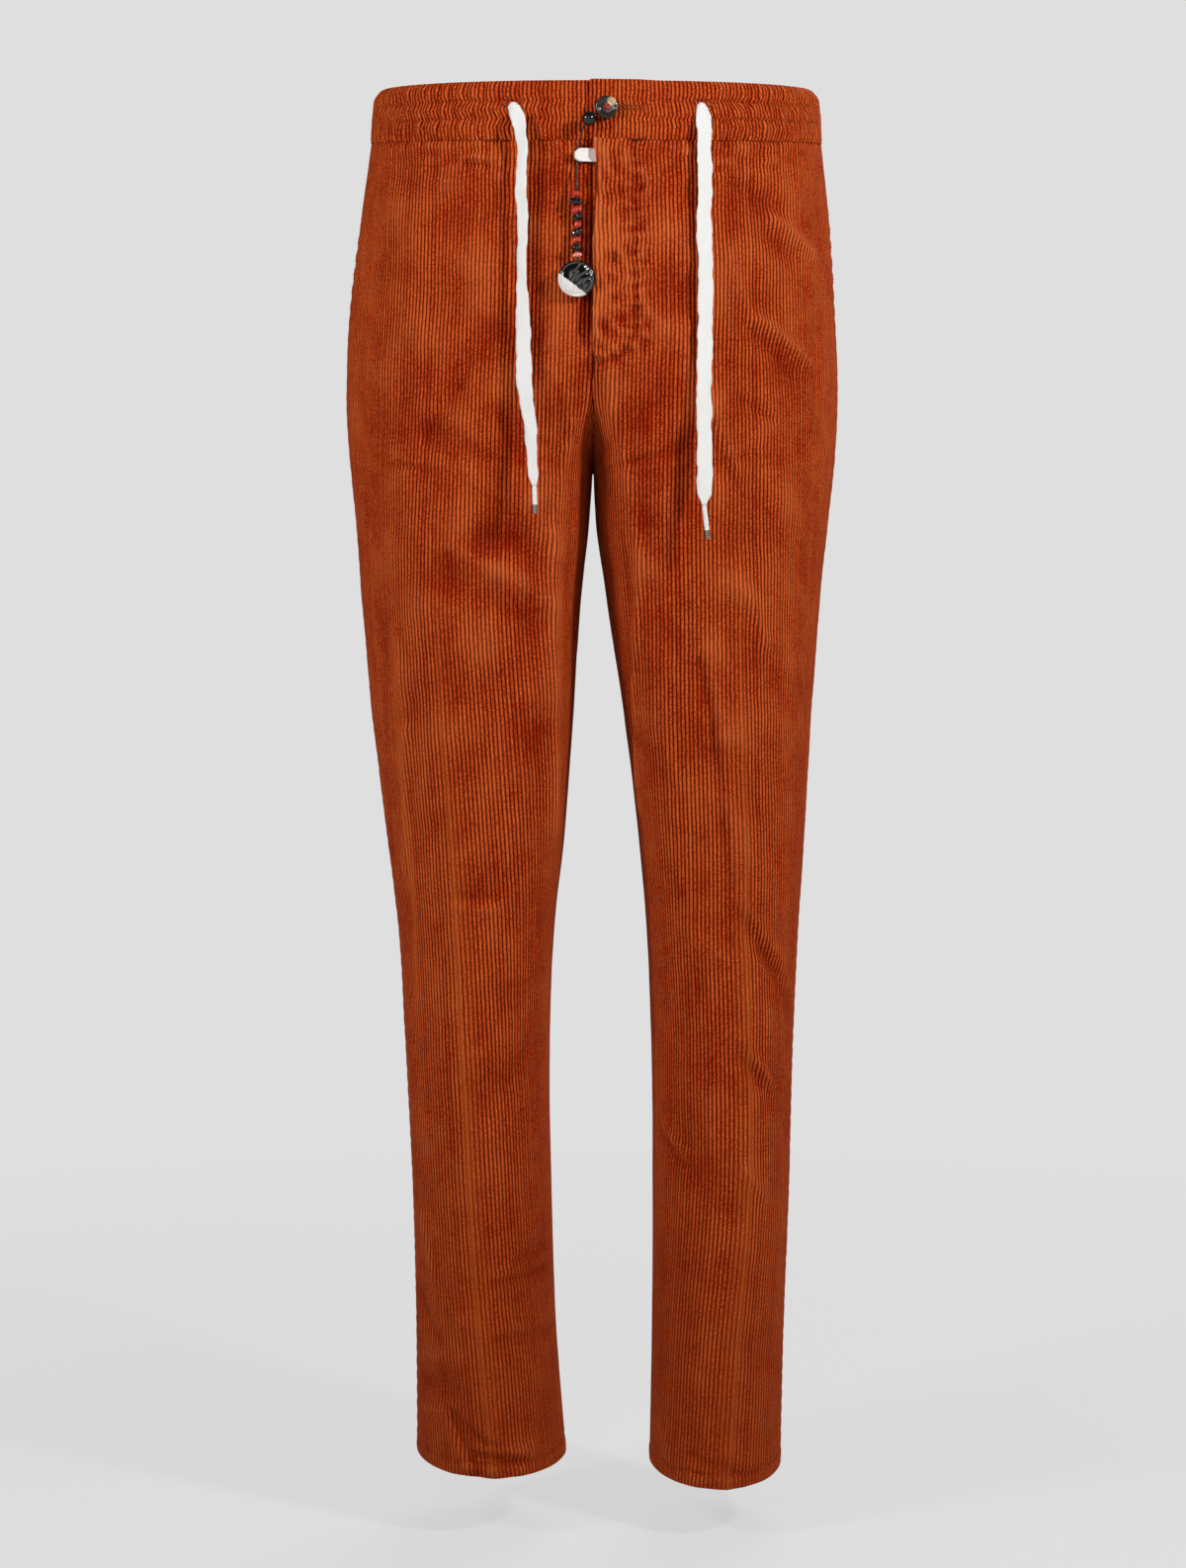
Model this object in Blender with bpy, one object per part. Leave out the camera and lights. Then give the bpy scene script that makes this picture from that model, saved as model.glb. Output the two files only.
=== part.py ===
"""Corduroy drawstring trousers, filled out as worn, with no wearer inside.

Metres, +Z up, the front towards -Y. The origin is the middle of the waist opening, halfway up the
waistband. Left and right are the wearer's: left is +X.

The cloth is made from sections. At each height one half of the trousers has a front arc, from its
inner edge to the side seam, and a back arc, from the side seam to its inner edge. Above the crotch
the inner edges are the centre seams, below it they meet at the inseam. Every piece of cloth is a
stretch of these arcs with a wall, and what lies on a panel is made from the panel's own points,
moved out.
"""

import math
from collections import namedtuple

import bmesh
import bpy
import numpy as np
from mathutils import Matrix, Vector

GARMENT = "trousers"
RIGHT, LEFT = -1, 1

# ---------------------------------------------------------------- driving dimensions

CLOTH = 0.0020  # eight-wale corduroy, pile to back
BAND_WALL = 0.0030  # waistband: two layers over flat elastic
SEAM = 0.0004  # gap between two pieces at a seam
LAY = 0.0004  # gap between a piece and what it lies on

BAND_TOP = 0.0205
BAND_BOTTOM = -0.0205
BAND_SWELL = 0.0005
TOP_DEPTH = 0.110  # centre front to the side seam's plane, at the waist
BACK_RISE = 0.023  # the waist is this much higher at the back than at the front
ELASTIC_SQUEEZE = 0.0045  # and its band this much lower where the elastic gathers it
TOP_ROLL = 0.0020  # the band's top edge rolls in this far
RISE_BOTTOM = -0.160
CROTCH_Z = -0.245
FRONT_BEND = 0.075  # height over which the front centre seam curves under
BACK_BEND = 0.120
MERGE_BOTTOM = -0.310  # between these heights the two legs' ovals become the hips' one
MERGE_TOP = -0.110
HIP_SQUARENESS = 0.24
THIGH_SQUARENESS = 1.90  # and the thighs' inner sides are this much squarer, just below the crotch
THIGH_ABOVE = (-0.14, -0.26)  # over these heights they become so, going down
THIGH_BELOW = (-0.66, -0.38)  # and over these heights they do, going up
HEM_TURN = 0.010  # double turned hem
HEM_DIP = 0.0062  # the hem hangs this much lower at the front crease than at the side
HEM_SLOPE = {-1: 0.0035, 1: -0.0010}  # and at the inseam, for the right leg and the left

FLY_LAP = 0.0036  # the folded fly edge stands this far off the shield under it
FLY_WIDTH = 0.034
FLY_BOTTOM = -0.172
POCKET_LAP = 0.0026  # the facing lies this far under the face of the front
POCKET_TOP_SLANT = 0.030
POCKET_LENGTH = 0.145
POCKET_UNDER = 0.014  # how far the facing runs on under the front
CREASE_REACH = 0.020
HEM_LAYERS = 1.9  # the turned hem's thickness, in layers of cloth
SHIELD_WIDTH = 0.016
EDGE_CROWD = 1.3  # a front's columns crowd towards its side seam

UNDERLAP = 0.026  # the right band runs on this far under the left one
OVERLAP = 0.0024  # the left band's end, past the centre plane
BAND_HEIGHTS = [BAND_TOP, BAND_TOP - 0.0020, BAND_TOP - 0.0060, 0.004, -0.009, BAND_BOTTOM]

DRAWSTRING_WIDTH = 0.0105
DRAWSTRING_TAPER = 0.009  # the end gathers into its tip over this length
DRAWSTRING_THICKNESS = 0.0012
DRAWSTRING_POINTS = 36
AGLET_RADIUS = 0.0017
CHARM_CORD = 0.0011
BUTTON_RADIUS = 0.0077
BUTTON_THICKNESS = 0.0026
SHANK_RADIUS = 0.0012
SHANK_LENGTH = 0.0019
THREAD_HOLE = 0.0008
THREAD_HOLE_OUT = 0.0022  # from the button's middle to each hole's

# One row for each height of one half: distances out from the centre plane to the outer and inner
# outline, forward and back from the side seam's plane, out to the pressed crease, and how far the
# crease stands proud.
Row = namedtuple("Row", "z outer inner front back crease_x crease")

HALVES = {
    RIGHT: [
        Row(0.0205, 0.1568, 0.0, TOP_DEPTH, 0.1050, 0.098, 0.0),
        Row(-0.0205, 0.1598, 0.0, 0.1140, 0.1120, 0.098, 0.0),
        Row(-0.0720, 0.1676, 0.0, 0.1200, 0.1280, 0.099, 0.0),
        Row(-0.1300, 0.1750, 0.0, 0.1240, 0.1410, 0.100, 0.0),
        Row(-0.1890, 0.1780, 0.0, 0.1245, 0.1460, 0.102, 0.0),
        Row(-0.2450, 0.1748, 0.0006, 0.1210, 0.1370, 0.104, 0.0),
        Row(-0.2770, 0.1716, 0.0027, 0.1185, 0.1290, 0.105, 0.0004),
        Row(-0.3360, 0.1674, 0.0088, 0.1130, 0.1150, 0.106, 0.0012),
        Row(-0.4240, 0.1598, 0.0147, 0.1030, 0.1000, 0.1015, 0.0028),
        Row(-0.5120, 0.1493, 0.0213, 0.0920, 0.0860, 0.0965, 0.0042),
        Row(-0.5710, 0.1423, 0.0279, 0.0850, 0.0780, 0.0935, 0.0050),
        Row(-0.6600, 0.1372, 0.0316, 0.0770, 0.0770, 0.0900, 0.0055),
        Row(-0.7770, 0.1318, 0.0301, 0.0680, 0.0750, 0.0845, 0.0060),
        Row(-0.8650, 0.1300, 0.0272, 0.0640, 0.0690, 0.0780, 0.0060),
        Row(-0.9575, 0.1296, 0.0200, 0.0620, 0.0620, 0.0705, 0.0060),
    ],
    LEFT: [
        Row(0.0205, 0.1618, 0.0, TOP_DEPTH, 0.1050, 0.098, 0.0),
        Row(-0.0205, 0.1645, 0.0, 0.1140, 0.1120, 0.098, 0.0),
        Row(-0.0720, 0.1703, 0.0, 0.1200, 0.1280, 0.099, 0.0),
        Row(-0.1300, 0.1742, 0.0, 0.1240, 0.1410, 0.100, 0.0),
        Row(-0.1890, 0.1766, 0.0, 0.1245, 0.1460, 0.100, 0.0),
        Row(-0.2450, 0.1738, 0.0006, 0.1210, 0.1370, 0.100, 0.0),
        Row(-0.2770, 0.1702, 0.0020, 0.1185, 0.1290, 0.100, 0.0004),
        Row(-0.3360, 0.1646, 0.0100, 0.1130, 0.1150, 0.101, 0.0012),
        Row(-0.4240, 0.1583, 0.0232, 0.1030, 0.1000, 0.102, 0.0028),
        Row(-0.5120, 0.1536, 0.0336, 0.0920, 0.0860, 0.1045, 0.0042),
        Row(-0.5710, 0.1500, 0.0388, 0.0850, 0.0780, 0.1050, 0.0050),
        Row(-0.6600, 0.1462, 0.0426, 0.0770, 0.0770, 0.1070, 0.0055),
        Row(-0.7770, 0.1434, 0.0438, 0.0680, 0.0750, 0.1065, 0.0060),
        Row(-0.8650, 0.1402, 0.0434, 0.0640, 0.0690, 0.1000, 0.0060),
        Row(-0.9675, 0.1382, 0.0417, 0.0620, 0.0620, 0.0950, 0.0060),
    ],
}

# The largest folds: soft troughs (depth below 0) and ridges, from one place to another. Across is
# measured on the cloth from the pressed crease, outwards.
Fold = namedtuple("Fold", "side arc across_a z_a across_b z_b half_width depth")

FOLDS = [
    Fold(RIGHT, "front", -0.020, -0.160, 0.016, -0.245, 0.012, -0.0016),
    Fold(LEFT, "front", 0.020, -0.150, 0.045, -0.215, 0.014, -0.0016),
    Fold(RIGHT, "front", -0.055, -0.215, -0.030, -0.290, 0.018, -0.0022),
    Fold(LEFT, "front", -0.055, -0.200, -0.034, -0.300, 0.018, -0.0022),
    Fold(RIGHT, "front", -0.060, -0.650, -0.012, -0.690, 0.014, -0.0016),
    Fold(RIGHT, "front", -0.062, -0.820, -0.020, -0.835, 0.012, -0.0014),
    Fold(RIGHT, "front", 0.028, -0.905, -0.010, -0.950, 0.013, -0.0020),
    Fold(LEFT, "front", 0.004, -0.565, 0.060, -0.640, 0.012, -0.0020),
    Fold(LEFT, "front", 0.004, -0.660, 0.050, -0.715, 0.012, -0.0018),
    Fold(LEFT, "front", -0.045, -0.725, -0.012, -0.770, 0.013, -0.0016),
    Fold(LEFT, "front", 0.004, -0.860, 0.035, -0.885, 0.012, -0.0014),
    Fold(RIGHT, "back", -0.050, -0.205, 0.040, -0.262, 0.020, -0.0050),
    Fold(LEFT, "back", -0.050, -0.212, 0.045, -0.272, 0.020, -0.0050),
    Fold(RIGHT, "back", -0.030, -0.300, 0.050, -0.325, 0.022, -0.0030),
    Fold(LEFT, "back", -0.040, -0.310, 0.035, -0.330, 0.020, -0.0034),
    Fold(RIGHT, "back", -0.045, -0.545, 0.040, -0.575, 0.018, -0.0044),
    Fold(LEFT, "back", -0.045, -0.550, 0.040, -0.590, 0.018, -0.0044),
    Fold(RIGHT, "back", -0.040, -0.625, 0.030, -0.603, 0.016, -0.0034),
    Fold(LEFT, "back", -0.035, -0.645, 0.035, -0.618, 0.016, -0.0034),
    Fold(RIGHT, "back", -0.035, -0.895, 0.030, -0.918, 0.015, -0.0028),
    Fold(LEFT, "back", -0.030, -0.905, 0.035, -0.922, 0.015, -0.0028),
]

# Heights of the fly's free edge and how far it lies to the left of the centre plane.
FlyEdge = namedtuple("FlyEdge", "z x")
FLY_EDGE = [
    FlyEdge(-0.0205, 0.0000),
    FlyEdge(-0.0350, 0.0021),
    FlyEdge(-0.0650, 0.0021),
    FlyEdge(-0.1000, -0.0010),
    FlyEdge(-0.1350, -0.0026),
    FlyEdge(-0.1540, -0.0008),
    FlyEdge(-0.1680, 0.0006),
    FlyEdge(-0.1850, SEAM / 2),
]

# The route of each free end of the flat drawstring: x across, z up, how far its nearest edge
# stands off the cloth, and how far its flat side turns from lying on the cloth, in degrees.
TapeStop = namedtuple("TapeStop", "x z lift turn")
DRAWSTRING_STOPS = {
    RIGHT: [
        TapeStop(-0.0545, 0.0047, -0.0026, 0),
        TapeStop(-0.0545, 0.0044, -0.0008, 0),
        TapeStop(-0.0542, 0.0028, 0.0006, 0),
        TapeStop(-0.0530, -0.0010, 0.0005, 4),
        TapeStop(-0.0505, -0.0080, 0.0003, 16),
        TapeStop(-0.0483, -0.0170, 0.0002, 36),
        TapeStop(-0.0472, -0.0290, 0.0000, 46),
        TapeStop(-0.0482, -0.0520, 0.0000, 40),
        TapeStop(-0.0468, -0.0800, 0.0000, 44),
        TapeStop(-0.0478, -0.1090, 0.0000, 50),
        TapeStop(-0.0472, -0.1300, 0.0000, 36),
        TapeStop(-0.0468, -0.1600, 0.0002, 8),
        TapeStop(-0.0462, -0.1900, 0.0006, 12),
        TapeStop(-0.0430, -0.2160, 0.0025, 34),
        TapeStop(-0.0424, -0.2380, 0.0050, 48),
        TapeStop(-0.0420, -0.2560, 0.0080, 40),
    ],
    LEFT: [
        TapeStop(0.0747, 0.0047, -0.0026, 0),
        TapeStop(0.0747, 0.0044, -0.0008, 0),
        TapeStop(0.0747, 0.0028, 0.0006, 0),
        TapeStop(0.0748, -0.0010, 0.0005, -2),
        TapeStop(0.0750, -0.0080, 0.0003, -6),
        TapeStop(0.0745, -0.0280, 0.0002, 10),
        TapeStop(0.0751, -0.0520, 0.0000, 16),
        TapeStop(0.0745, -0.0760, 0.0000, 2),
        TapeStop(0.0754, -0.1100, 0.0000, -6),
        TapeStop(0.0752, -0.1500, 0.0000, -8),
        TapeStop(0.0744, -0.1850, 0.0006, -4),
        TapeStop(0.0746, -0.2160, 0.0030, -10),
        TapeStop(0.0756, -0.2450, 0.0060, -4),
        TapeStop(0.0760, -0.2700, 0.0090, -6),
    ],
}
AGLET_LENGTH = {RIGHT: 0.019, LEFT: 0.023}
AGLET_LEAN = {RIGHT: Vector((0.03, -0.02, -1.0)), LEFT: Vector((0.12, -0.02, -1.0))}

BUTTON_X, BUTTON_Z = 0.0094, 0.0002
BEAD_X, BEAD_Z, BEAD_RADIUS = -0.0027, -0.0080, 0.0049
CHARM_POINTS = 80

# The route of the charm's cord: x across, z up, and how far its middle stands off the cloth.
Stop = namedtuple("Stop", "x z off")
BEAD_STOP = 7  # the bead's place among these stops
CHARM_STOPS = [
    Stop(BUTTON_X + 0.0022, BUTTON_Z - 0.0004, FLY_LAP + 0.0013),
    Stop(BUTTON_X + 0.0019, BUTTON_Z + 0.0013, FLY_LAP + 0.0013),
    Stop(BUTTON_X + 0.0004, BUTTON_Z + 0.0024, FLY_LAP + 0.0013),
    Stop(BUTTON_X - 0.0018, BUTTON_Z + 0.0018, FLY_LAP + 0.0013),
    Stop(BUTTON_X - 0.0050, BUTTON_Z - 0.0012, FLY_LAP + 0.0013),
    Stop(BUTTON_X - 0.0074, BUTTON_Z - 0.0036, FLY_LAP + 0.0015),
    Stop(BEAD_X + 0.0036, BEAD_Z + 0.0036, FLY_LAP + 0.0046),
    Stop(BEAD_X, BEAD_Z, FLY_LAP + 0.0054),
    Stop(BEAD_X - 0.0034, BEAD_Z - 0.0042, FLY_LAP + 0.0052),
    Stop(-0.0078, -0.0172, 0.0056),
    Stop(-0.0096, -0.0238, 0.0026),
    Stop(-0.0104, -0.0280, 0.0021),
    Stop(-0.0108, -0.0360, 0.0021),
    Stop(-0.0110, -0.0415, 0.0026),
    Stop(-0.0112, -0.0500, 0.0046),
    Stop(-0.0112, -0.0580, 0.0054),
    Stop(-0.0108, -0.0690, 0.0055),
    Stop(-0.0098, -0.0770, 0.0055),
    Stop(-0.0108, -0.0850, 0.0055),
    Stop(-0.0108, -0.0950, 0.0062),
    Stop(-0.0110, -0.1070, 0.0082),
]

# The chips on the charm's cord, top to bottom: how far down, width across, height and colour.
Chip = namedtuple("Chip", "z width height colour")
CHIPS = [
    Chip(-0.0593, 0.0056, 0.0040, "coral"),
    Chip(-0.0644, 0.0086, 0.0046, "onyx"),
    Chip(-0.0696, 0.0064, 0.0044, "coral"),
    Chip(-0.0749, 0.0088, 0.0046, "onyx"),
    Chip(-0.0799, 0.0052, 0.0040, "coral"),
    Chip(-0.0854, 0.0074, 0.0054, "onyx"),
    Chip(-0.0910, 0.0056, 0.0042, "coral"),
    Chip(-0.0961, 0.0092, 0.0046, "onyx"),
    Chip(-0.1011, 0.0060, 0.0040, "coral"),
]
TAPE_LOOP_Z = -0.0320
PENDANT_X, PENDANT_Z = -0.0110, -0.1172
PENDANT_WIDTH, PENDANT_HEIGHT, PENDANT_DEPTH = 0.0257, 0.0246, 0.0100

Finish = namedtuple("Finish", "colour roughness metallic")
FINISHES = {
    "corduroy": Finish((0.38, 0.075, 0.016), 0.95, 0.0),
    "tape": Finish((0.80, 0.80, 0.79), 0.90, 0.0),
    "horn": Finish((0.030, 0.020, 0.016), 0.25, 0.0),
    "cord": Finish((0.012, 0.012, 0.013), 0.60, 0.0),
    "coral": Finish((0.50, 0.030, 0.020), 0.25, 0.0),
    "onyx": Finish((0.008, 0.008, 0.009), 0.12, 0.0),
}


# ---------------------------------------------------------------- small helpers


def smooth(value, start, end):
    """0 at start and before, 1 at end and after, easing between them."""
    t = min(1.0, max(0.0, (value - start) / (end - start)))
    return t * t * (3 - 2 * t)


def eased(xs, ys, x):
    """A smooth curve through the points (xs, ys), with xs rising, held flat beyond the ends."""
    xs, ys = np.asarray(xs, float), np.asarray(ys, float)
    slopes = np.gradient(ys, xs)
    k = int(np.clip(np.searchsorted(xs, x) - 1, 0, len(xs) - 2))
    step = xs[k + 1] - xs[k]
    t = float(np.clip((x - xs[k]) / step, 0, 1))
    return (
        (2 * t**3 - 3 * t**2 + 1) * ys[k]
        + (t**3 - 2 * t**2 + t) * step * slopes[k]
        + (3 * t**2 - 2 * t**3) * ys[k + 1]
        + (t**3 - t**2) * step * slopes[k + 1]
    )


def read_table(rows, column, z):
    """One column of a table whose rows go down from the top, at height z."""
    rows = rows[::-1]
    return eased([row.z for row in rows], [getattr(row, column) for row in rows], z)


def material(name):
    """The Blender material of that finish, made once."""
    made = bpy.data.materials.get(name)
    if made is None:
        finish = FINISHES[name]
        made = bpy.data.materials.new(name)
        made.use_nodes = True
        made.diffuse_color = (*finish.colour, 1.0)
        shader = made.node_tree.nodes["Principled BSDF"]
        shader.inputs["Base Color"].default_value = (*finish.colour, 1.0)
        shader.inputs["Roughness"].default_value = finish.roughness
        shader.inputs["Metallic"].default_value = finish.metallic
    return made


def new_object(name, mesh, finish):
    """Links a mesh or curve as a named object of that finish, on the garment's empty."""
    made = bpy.data.objects.new(name, mesh)
    bpy.context.scene.collection.objects.link(made)
    made.data.materials.append(material(finish))
    made.parent = bpy.data.objects[GARMENT]
    return made


def mesh_object(name, points, faces, finish):
    """An object from points and faces, with every face turned outwards."""
    mesh = bpy.data.meshes.new(name)
    mesh.from_pydata([tuple(p) for p in points], [], [tuple(f) for f in faces])
    work = bmesh.new()
    work.from_mesh(mesh)
    bmesh.ops.recalc_face_normals(work, faces=work.faces)
    if work.calc_volume(signed=True) < 0:
        bmesh.ops.reverse_faces(work, faces=work.faces)
    work.to_mesh(mesh)
    work.free()
    mesh.shade_smooth()
    mesh.set_sharp_from_angle(angle=math.radians(40))
    return new_object(name, mesh, finish)


# ---------------------------------------------------------------- the form of the cloth


class Arc:
    """One half's front or back outline at one height, measured along the cloth from the centre.

    It is two quarter ovals that meet at the line of the leg's middle. Above the crotch the inner
    one stops at the centre plane, where the seam is, and up the hips the two become one.
    """

    SAMPLES = 160
    FLATTEST = 0.9999

    def __init__(self, side, which, z):
        rows = HALVES[side]
        outer = read_table(rows, "outer", z)
        inner = read_table(rows, "inner", z)
        depth = read_table(rows, which, z)
        bend = FRONT_BEND if which == "front" else BACK_BEND
        roundness = 2.0 + HIP_SQUARENESS * smooth(z, -0.40, -0.10)
        thigh = smooth(z, *THIGH_ABOVE) * smooth(z, *THIGH_BELOW)
        inner_roundness = roundness + THIGH_SQUARENESS * thigh
        middle = (outer + inner) / 2 * (1 - smooth(z, MERGE_BOTTOM, MERGE_TOP))
        start = math.pi
        inner_half = middle - inner
        if z > CROTCH_Z:
            # The centre seam curves under the crotch as a quarter circle does.
            up = min(1.0, (z - CROTCH_Z) / bend)
            seam_depth = min(self.FLATTEST, math.sqrt(1 - (1 - up) ** 2))
            reach = (1 - seam_depth**inner_roundness) ** (1 / inner_roundness)
            inner_half = middle / reach
            start = math.pi - math.acos(reach ** (inner_roundness / 2)) if middle > 0 else math.pi / 2
        turn = np.linspace(start, 0.0, self.SAMPLES)
        c, s = np.cos(turn), np.sin(turn)
        half = np.where(c < 0, inner_half, outer - middle)
        power = 2 / np.where(c < 0, inner_roundness, roundness)
        x = middle + half * np.sign(c) * np.abs(c) ** power
        y = depth * np.clip(s, 0, 1) ** power
        self.x = side * x
        self.y = -y if which == "front" else y
        self.along = np.concatenate([[0], np.cumsum(np.hypot(np.diff(self.x), np.diff(self.y)))])
        self.length = float(self.along[-1])
        crease_x = read_table(rows, "crease_x", z)
        if which == "back" and z < CROTCH_Z:
            crease_x += ((outer + inner) / 2 - crease_x) * smooth(z, CROTCH_Z, CROTCH_Z - 0.15)
        self.crease = float(np.interp(crease_x, x, self.along))

    def at(self, along):
        """The point that far along, from the inner edge."""
        return np.array([np.interp(along, self.along, self.x), np.interp(along, self.along, self.y)])

    def heading(self, along):
        """The direction of the outline there."""
        step = 0.0015
        a, b = self.at(max(0.0, along - step)), self.at(min(self.length, along + step))
        return (b - a) / np.linalg.norm(b - a)


ARCS = {}


def arc_at(side, which, z):
    """The arc of that half at height z, kept once it is made."""
    key = (side, which, round(z, 6))
    if key not in ARCS:
        ARCS[key] = Arc(side, which, z)
    return ARCS[key]


def fold_depth(side, which, across, z):
    """How far the folds and the pressed crease move the cloth out at that place."""
    rows = HALVES[side]
    crease = read_table(rows, "crease", z)
    total = crease * math.exp(-abs(across) / CREASE_REACH)
    for fold in FOLDS:
        if (fold.side, fold.arc) != (side, which):
            continue
        a = np.array([fold.across_a, fold.z_a])
        b = np.array([fold.across_b, fold.z_b])
        t = float(np.clip(np.dot(np.array([across, z]) - a, b - a) / np.dot(b - a, b - a), 0, 1))
        away = np.linalg.norm(np.array([across, z]) - a - t * (b - a)) / fold.half_width
        total += fold.depth * math.exp(-away * away)
    return total


def pocket_slant(z):
    """How far forward of the side seam the pocket's mouth is at that height."""
    return max(0.0, POCKET_TOP_SLANT * (1 - (BAND_BOTTOM - z) / POCKET_LENGTH))


def fly_lift(along, z):
    """How far the fly's overlap stands off what is under it."""
    stitched = 1 - smooth(along, 0.60 * FLY_WIDTH, FLY_WIDTH)
    return FLY_LAP * stitched * smooth(z, FLY_BOTTOM - 0.018, FLY_BOTTOM)


def waist_rise(y, z):
    """How far the waist is raised there: it climbs to the back, and its elastic side draws up."""
    back = (y / TOP_DEPTH + 1) / 2
    up_band = min(1.0, max(0.0, (z - BAND_BOTTOM) / (BAND_TOP - BAND_BOTTOM)))
    rise = BACK_RISE * back * smooth(z, RISE_BOTTOM, BAND_BOTTOM)
    return rise - ELASTIC_SQUEEZE * min(1.0, 2 * back) * up_band


def hem_drop(side, which, share, z):
    """How far the hem hangs lower there: most at the front, and on the right leg inside too."""
    hem = HALVES[side][-1].z
    front = math.sin(math.pi * share) if which == "front" else 0.0
    return (HEM_DIP * front + HEM_SLOPE[side] * (1 - share)) * smooth(z, hem + 0.25, hem)


def cloth_point(side, which, along, z, off=0.0, folded=True):
    """The cloth's outer face at that place, moved out by off, and its outward normal.

    Above the crotch a negative distance along runs on past the centre seam to the other half.
    """
    if along < 0 and z > CROTCH_Z:
        side, along = -side, -along
    arc = arc_at(side, which, z)
    along = min(max(along, 0.0), arc.length)
    x, y = arc.at(along)
    share = along / arc.length
    step = 0.004
    higher, lower = arc_at(side, which, z + step), arc_at(side, which, z - step)
    rise = np.append(higher.at(share * higher.length) - lower.at(share * lower.length), 2 * step)
    heading = np.append(arc.heading(along), 0.0)
    normal = np.cross(heading, rise)
    normal *= (side if which == "front" else -side) / np.linalg.norm(normal)
    if folded:
        off += fold_depth(side, which, along - arc.crease, z)
    point = np.array([x, y, z]) + normal * off
    point[2] += waist_rise(y, z) - hem_drop(side, which, share, z)
    return point, normal


def band_bulge(z):
    """How far the waistband swells over its elastic, at that height."""
    share = (z - BAND_BOTTOM) / (BAND_TOP - BAND_BOTTOM)
    swell = BAND_SWELL * math.sin(math.pi * min(1.0, max(0.0, share)))
    return swell - TOP_ROLL * smooth(z, BAND_TOP - 0.007, BAND_TOP)


def front_surface(x, z):
    """The front's outer face at that place across: y, without the laps."""
    side = LEFT if x >= 0 else RIGHT
    arc = arc_at(side, "front", z)
    along = float(np.interp(abs(x), np.abs(arc.x), arc.along))
    return cloth_point(side, "front", along, z, band_bulge(z))[0][1]


def wall(name, grid, finish):
    """A closed wall from a grid of (outer point, outward normal, thickness)."""
    rows, columns = len(grid), len(grid[0])
    outer = [p for row in grid for p, _, _ in row]
    inner = [p - n * t for row in grid for p, n, t in row]
    skip = rows * columns
    faces = []
    for r in range(rows - 1):
        for c in range(columns - 1):
            a, b = r * columns + c, r * columns + c + 1
            d, e = a + columns, b + columns
            faces += [(a, b, e, d), (skip + a, skip + d, skip + e, skip + b)]
    rim = [c for c in range(columns)]
    rim += [r * columns + columns - 1 for r in range(1, rows)]
    rim += [(rows - 1) * columns + c for c in range(columns - 2, -1, -1)]
    rim += [r * columns for r in range(rows - 2, 0, -1)]
    for a, b in zip(rim, rim[1:] + rim[:1]):
        faces.append((b, a, skip + a, skip + b))
    return mesh_object(name, outer + inner, faces, finish)


def cloth_wall(name, heights, columns, place):
    """A wall of cloth: place(column, z) gives each point, its normal and its thickness."""
    grid = [[place(k, z) for k in columns] for z in heights]
    return wall(name, grid, "corduroy")


# ---------------------------------------------------------------- panels


def leg_heights(side):
    """The heights of a leg panel's rows, closest together round the crotch."""
    hem = HALVES[side][-1].z
    top = BAND_BOTTOM - SEAM
    trunk = np.linspace(top, CROTCH_Z + 0.030, 8)
    crotch = [CROTCH_Z + 0.018, CROTCH_Z + 0.008, CROTCH_Z + 0.002, CROTCH_Z - 0.006]
    leg = np.linspace(CROTCH_Z - 0.030, hem + HEM_TURN + 0.002, 19)
    return [*trunk, *crotch, *leg, hem + HEM_TURN, hem]


def hem_wall(side, z):
    """The wall's thickness: the hem is turned up inside."""
    return CLOTH * (HEM_LAYERS if z < HALVES[side][-1].z + HEM_TURN + 0.001 else 1.0)


def fly_edge(z):
    """The distance along of the left front's inner edge."""
    return read_table(FLY_EDGE, "x", z) if z > FLY_EDGE[-1].z else SEAM / 2


def front_panel(side):
    """A front, from the centre seam or inseam over the crease to the side seam."""
    inner_columns, outer_columns = 7, 8

    def place(k, z):
        arc = arc_at(side, "front", z)
        start = fly_edge(z) if side == LEFT else SEAM / 2
        end = arc.length - SEAM / 2 - pocket_slant(z)
        if k <= inner_columns:
            along = start + (arc.crease - start) * k / inner_columns
        else:
            t = 1 - (1 - (k - inner_columns) / outer_columns) ** EDGE_CROWD
            along = arc.crease + (end - arc.crease) * t
        off = fly_lift(along, z) if side == LEFT else 0.0
        point, normal = cloth_point(side, "front", along, z, off)
        return point, normal, hem_wall(side, z)

    name = "front_left" if side == LEFT else "front_right"
    return cloth_wall(name, leg_heights(side), range(inner_columns + outer_columns + 1), place)


def back_panel(side):
    """A back, from the centre seam or inseam to the side seam."""
    columns = 13

    def place(k, z):
        arc = arc_at(side, "back", z)
        along = SEAM / 2 + (arc.length - SEAM) * k / columns
        point, normal = cloth_point(side, "back", along, z)
        return point, normal, hem_wall(side, z)

    name = "back_left" if side == LEFT else "back_right"
    return cloth_wall(name, leg_heights(side), range(columns + 1), place)


def pocket_facing(side):
    """The strip of cloth that shows in the slant pocket's mouth, sewn to the back."""
    columns = 5
    heights = np.linspace(BAND_BOTTOM - SEAM, BAND_BOTTOM - POCKET_LENGTH + 0.020, 8)

    def place(k, z):
        arc = arc_at(side, "front", z)
        slant = pocket_slant(z)
        inside = slant * 0.9 * k if k < 2 else slant * 0.9 + POCKET_UNDER * (k - 1) / (columns - 1)
        sunk = -POCKET_LAP if k else 0.0
        along = arc.length - SEAM / 2 - inside
        point, normal = cloth_point(side, "front", along, z, sunk)
        return point, normal, CLOTH

    name = "pocket_facing_left" if side == LEFT else "pocket_facing_right"
    return cloth_wall(name, heights, range(columns + 1), place)


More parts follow.
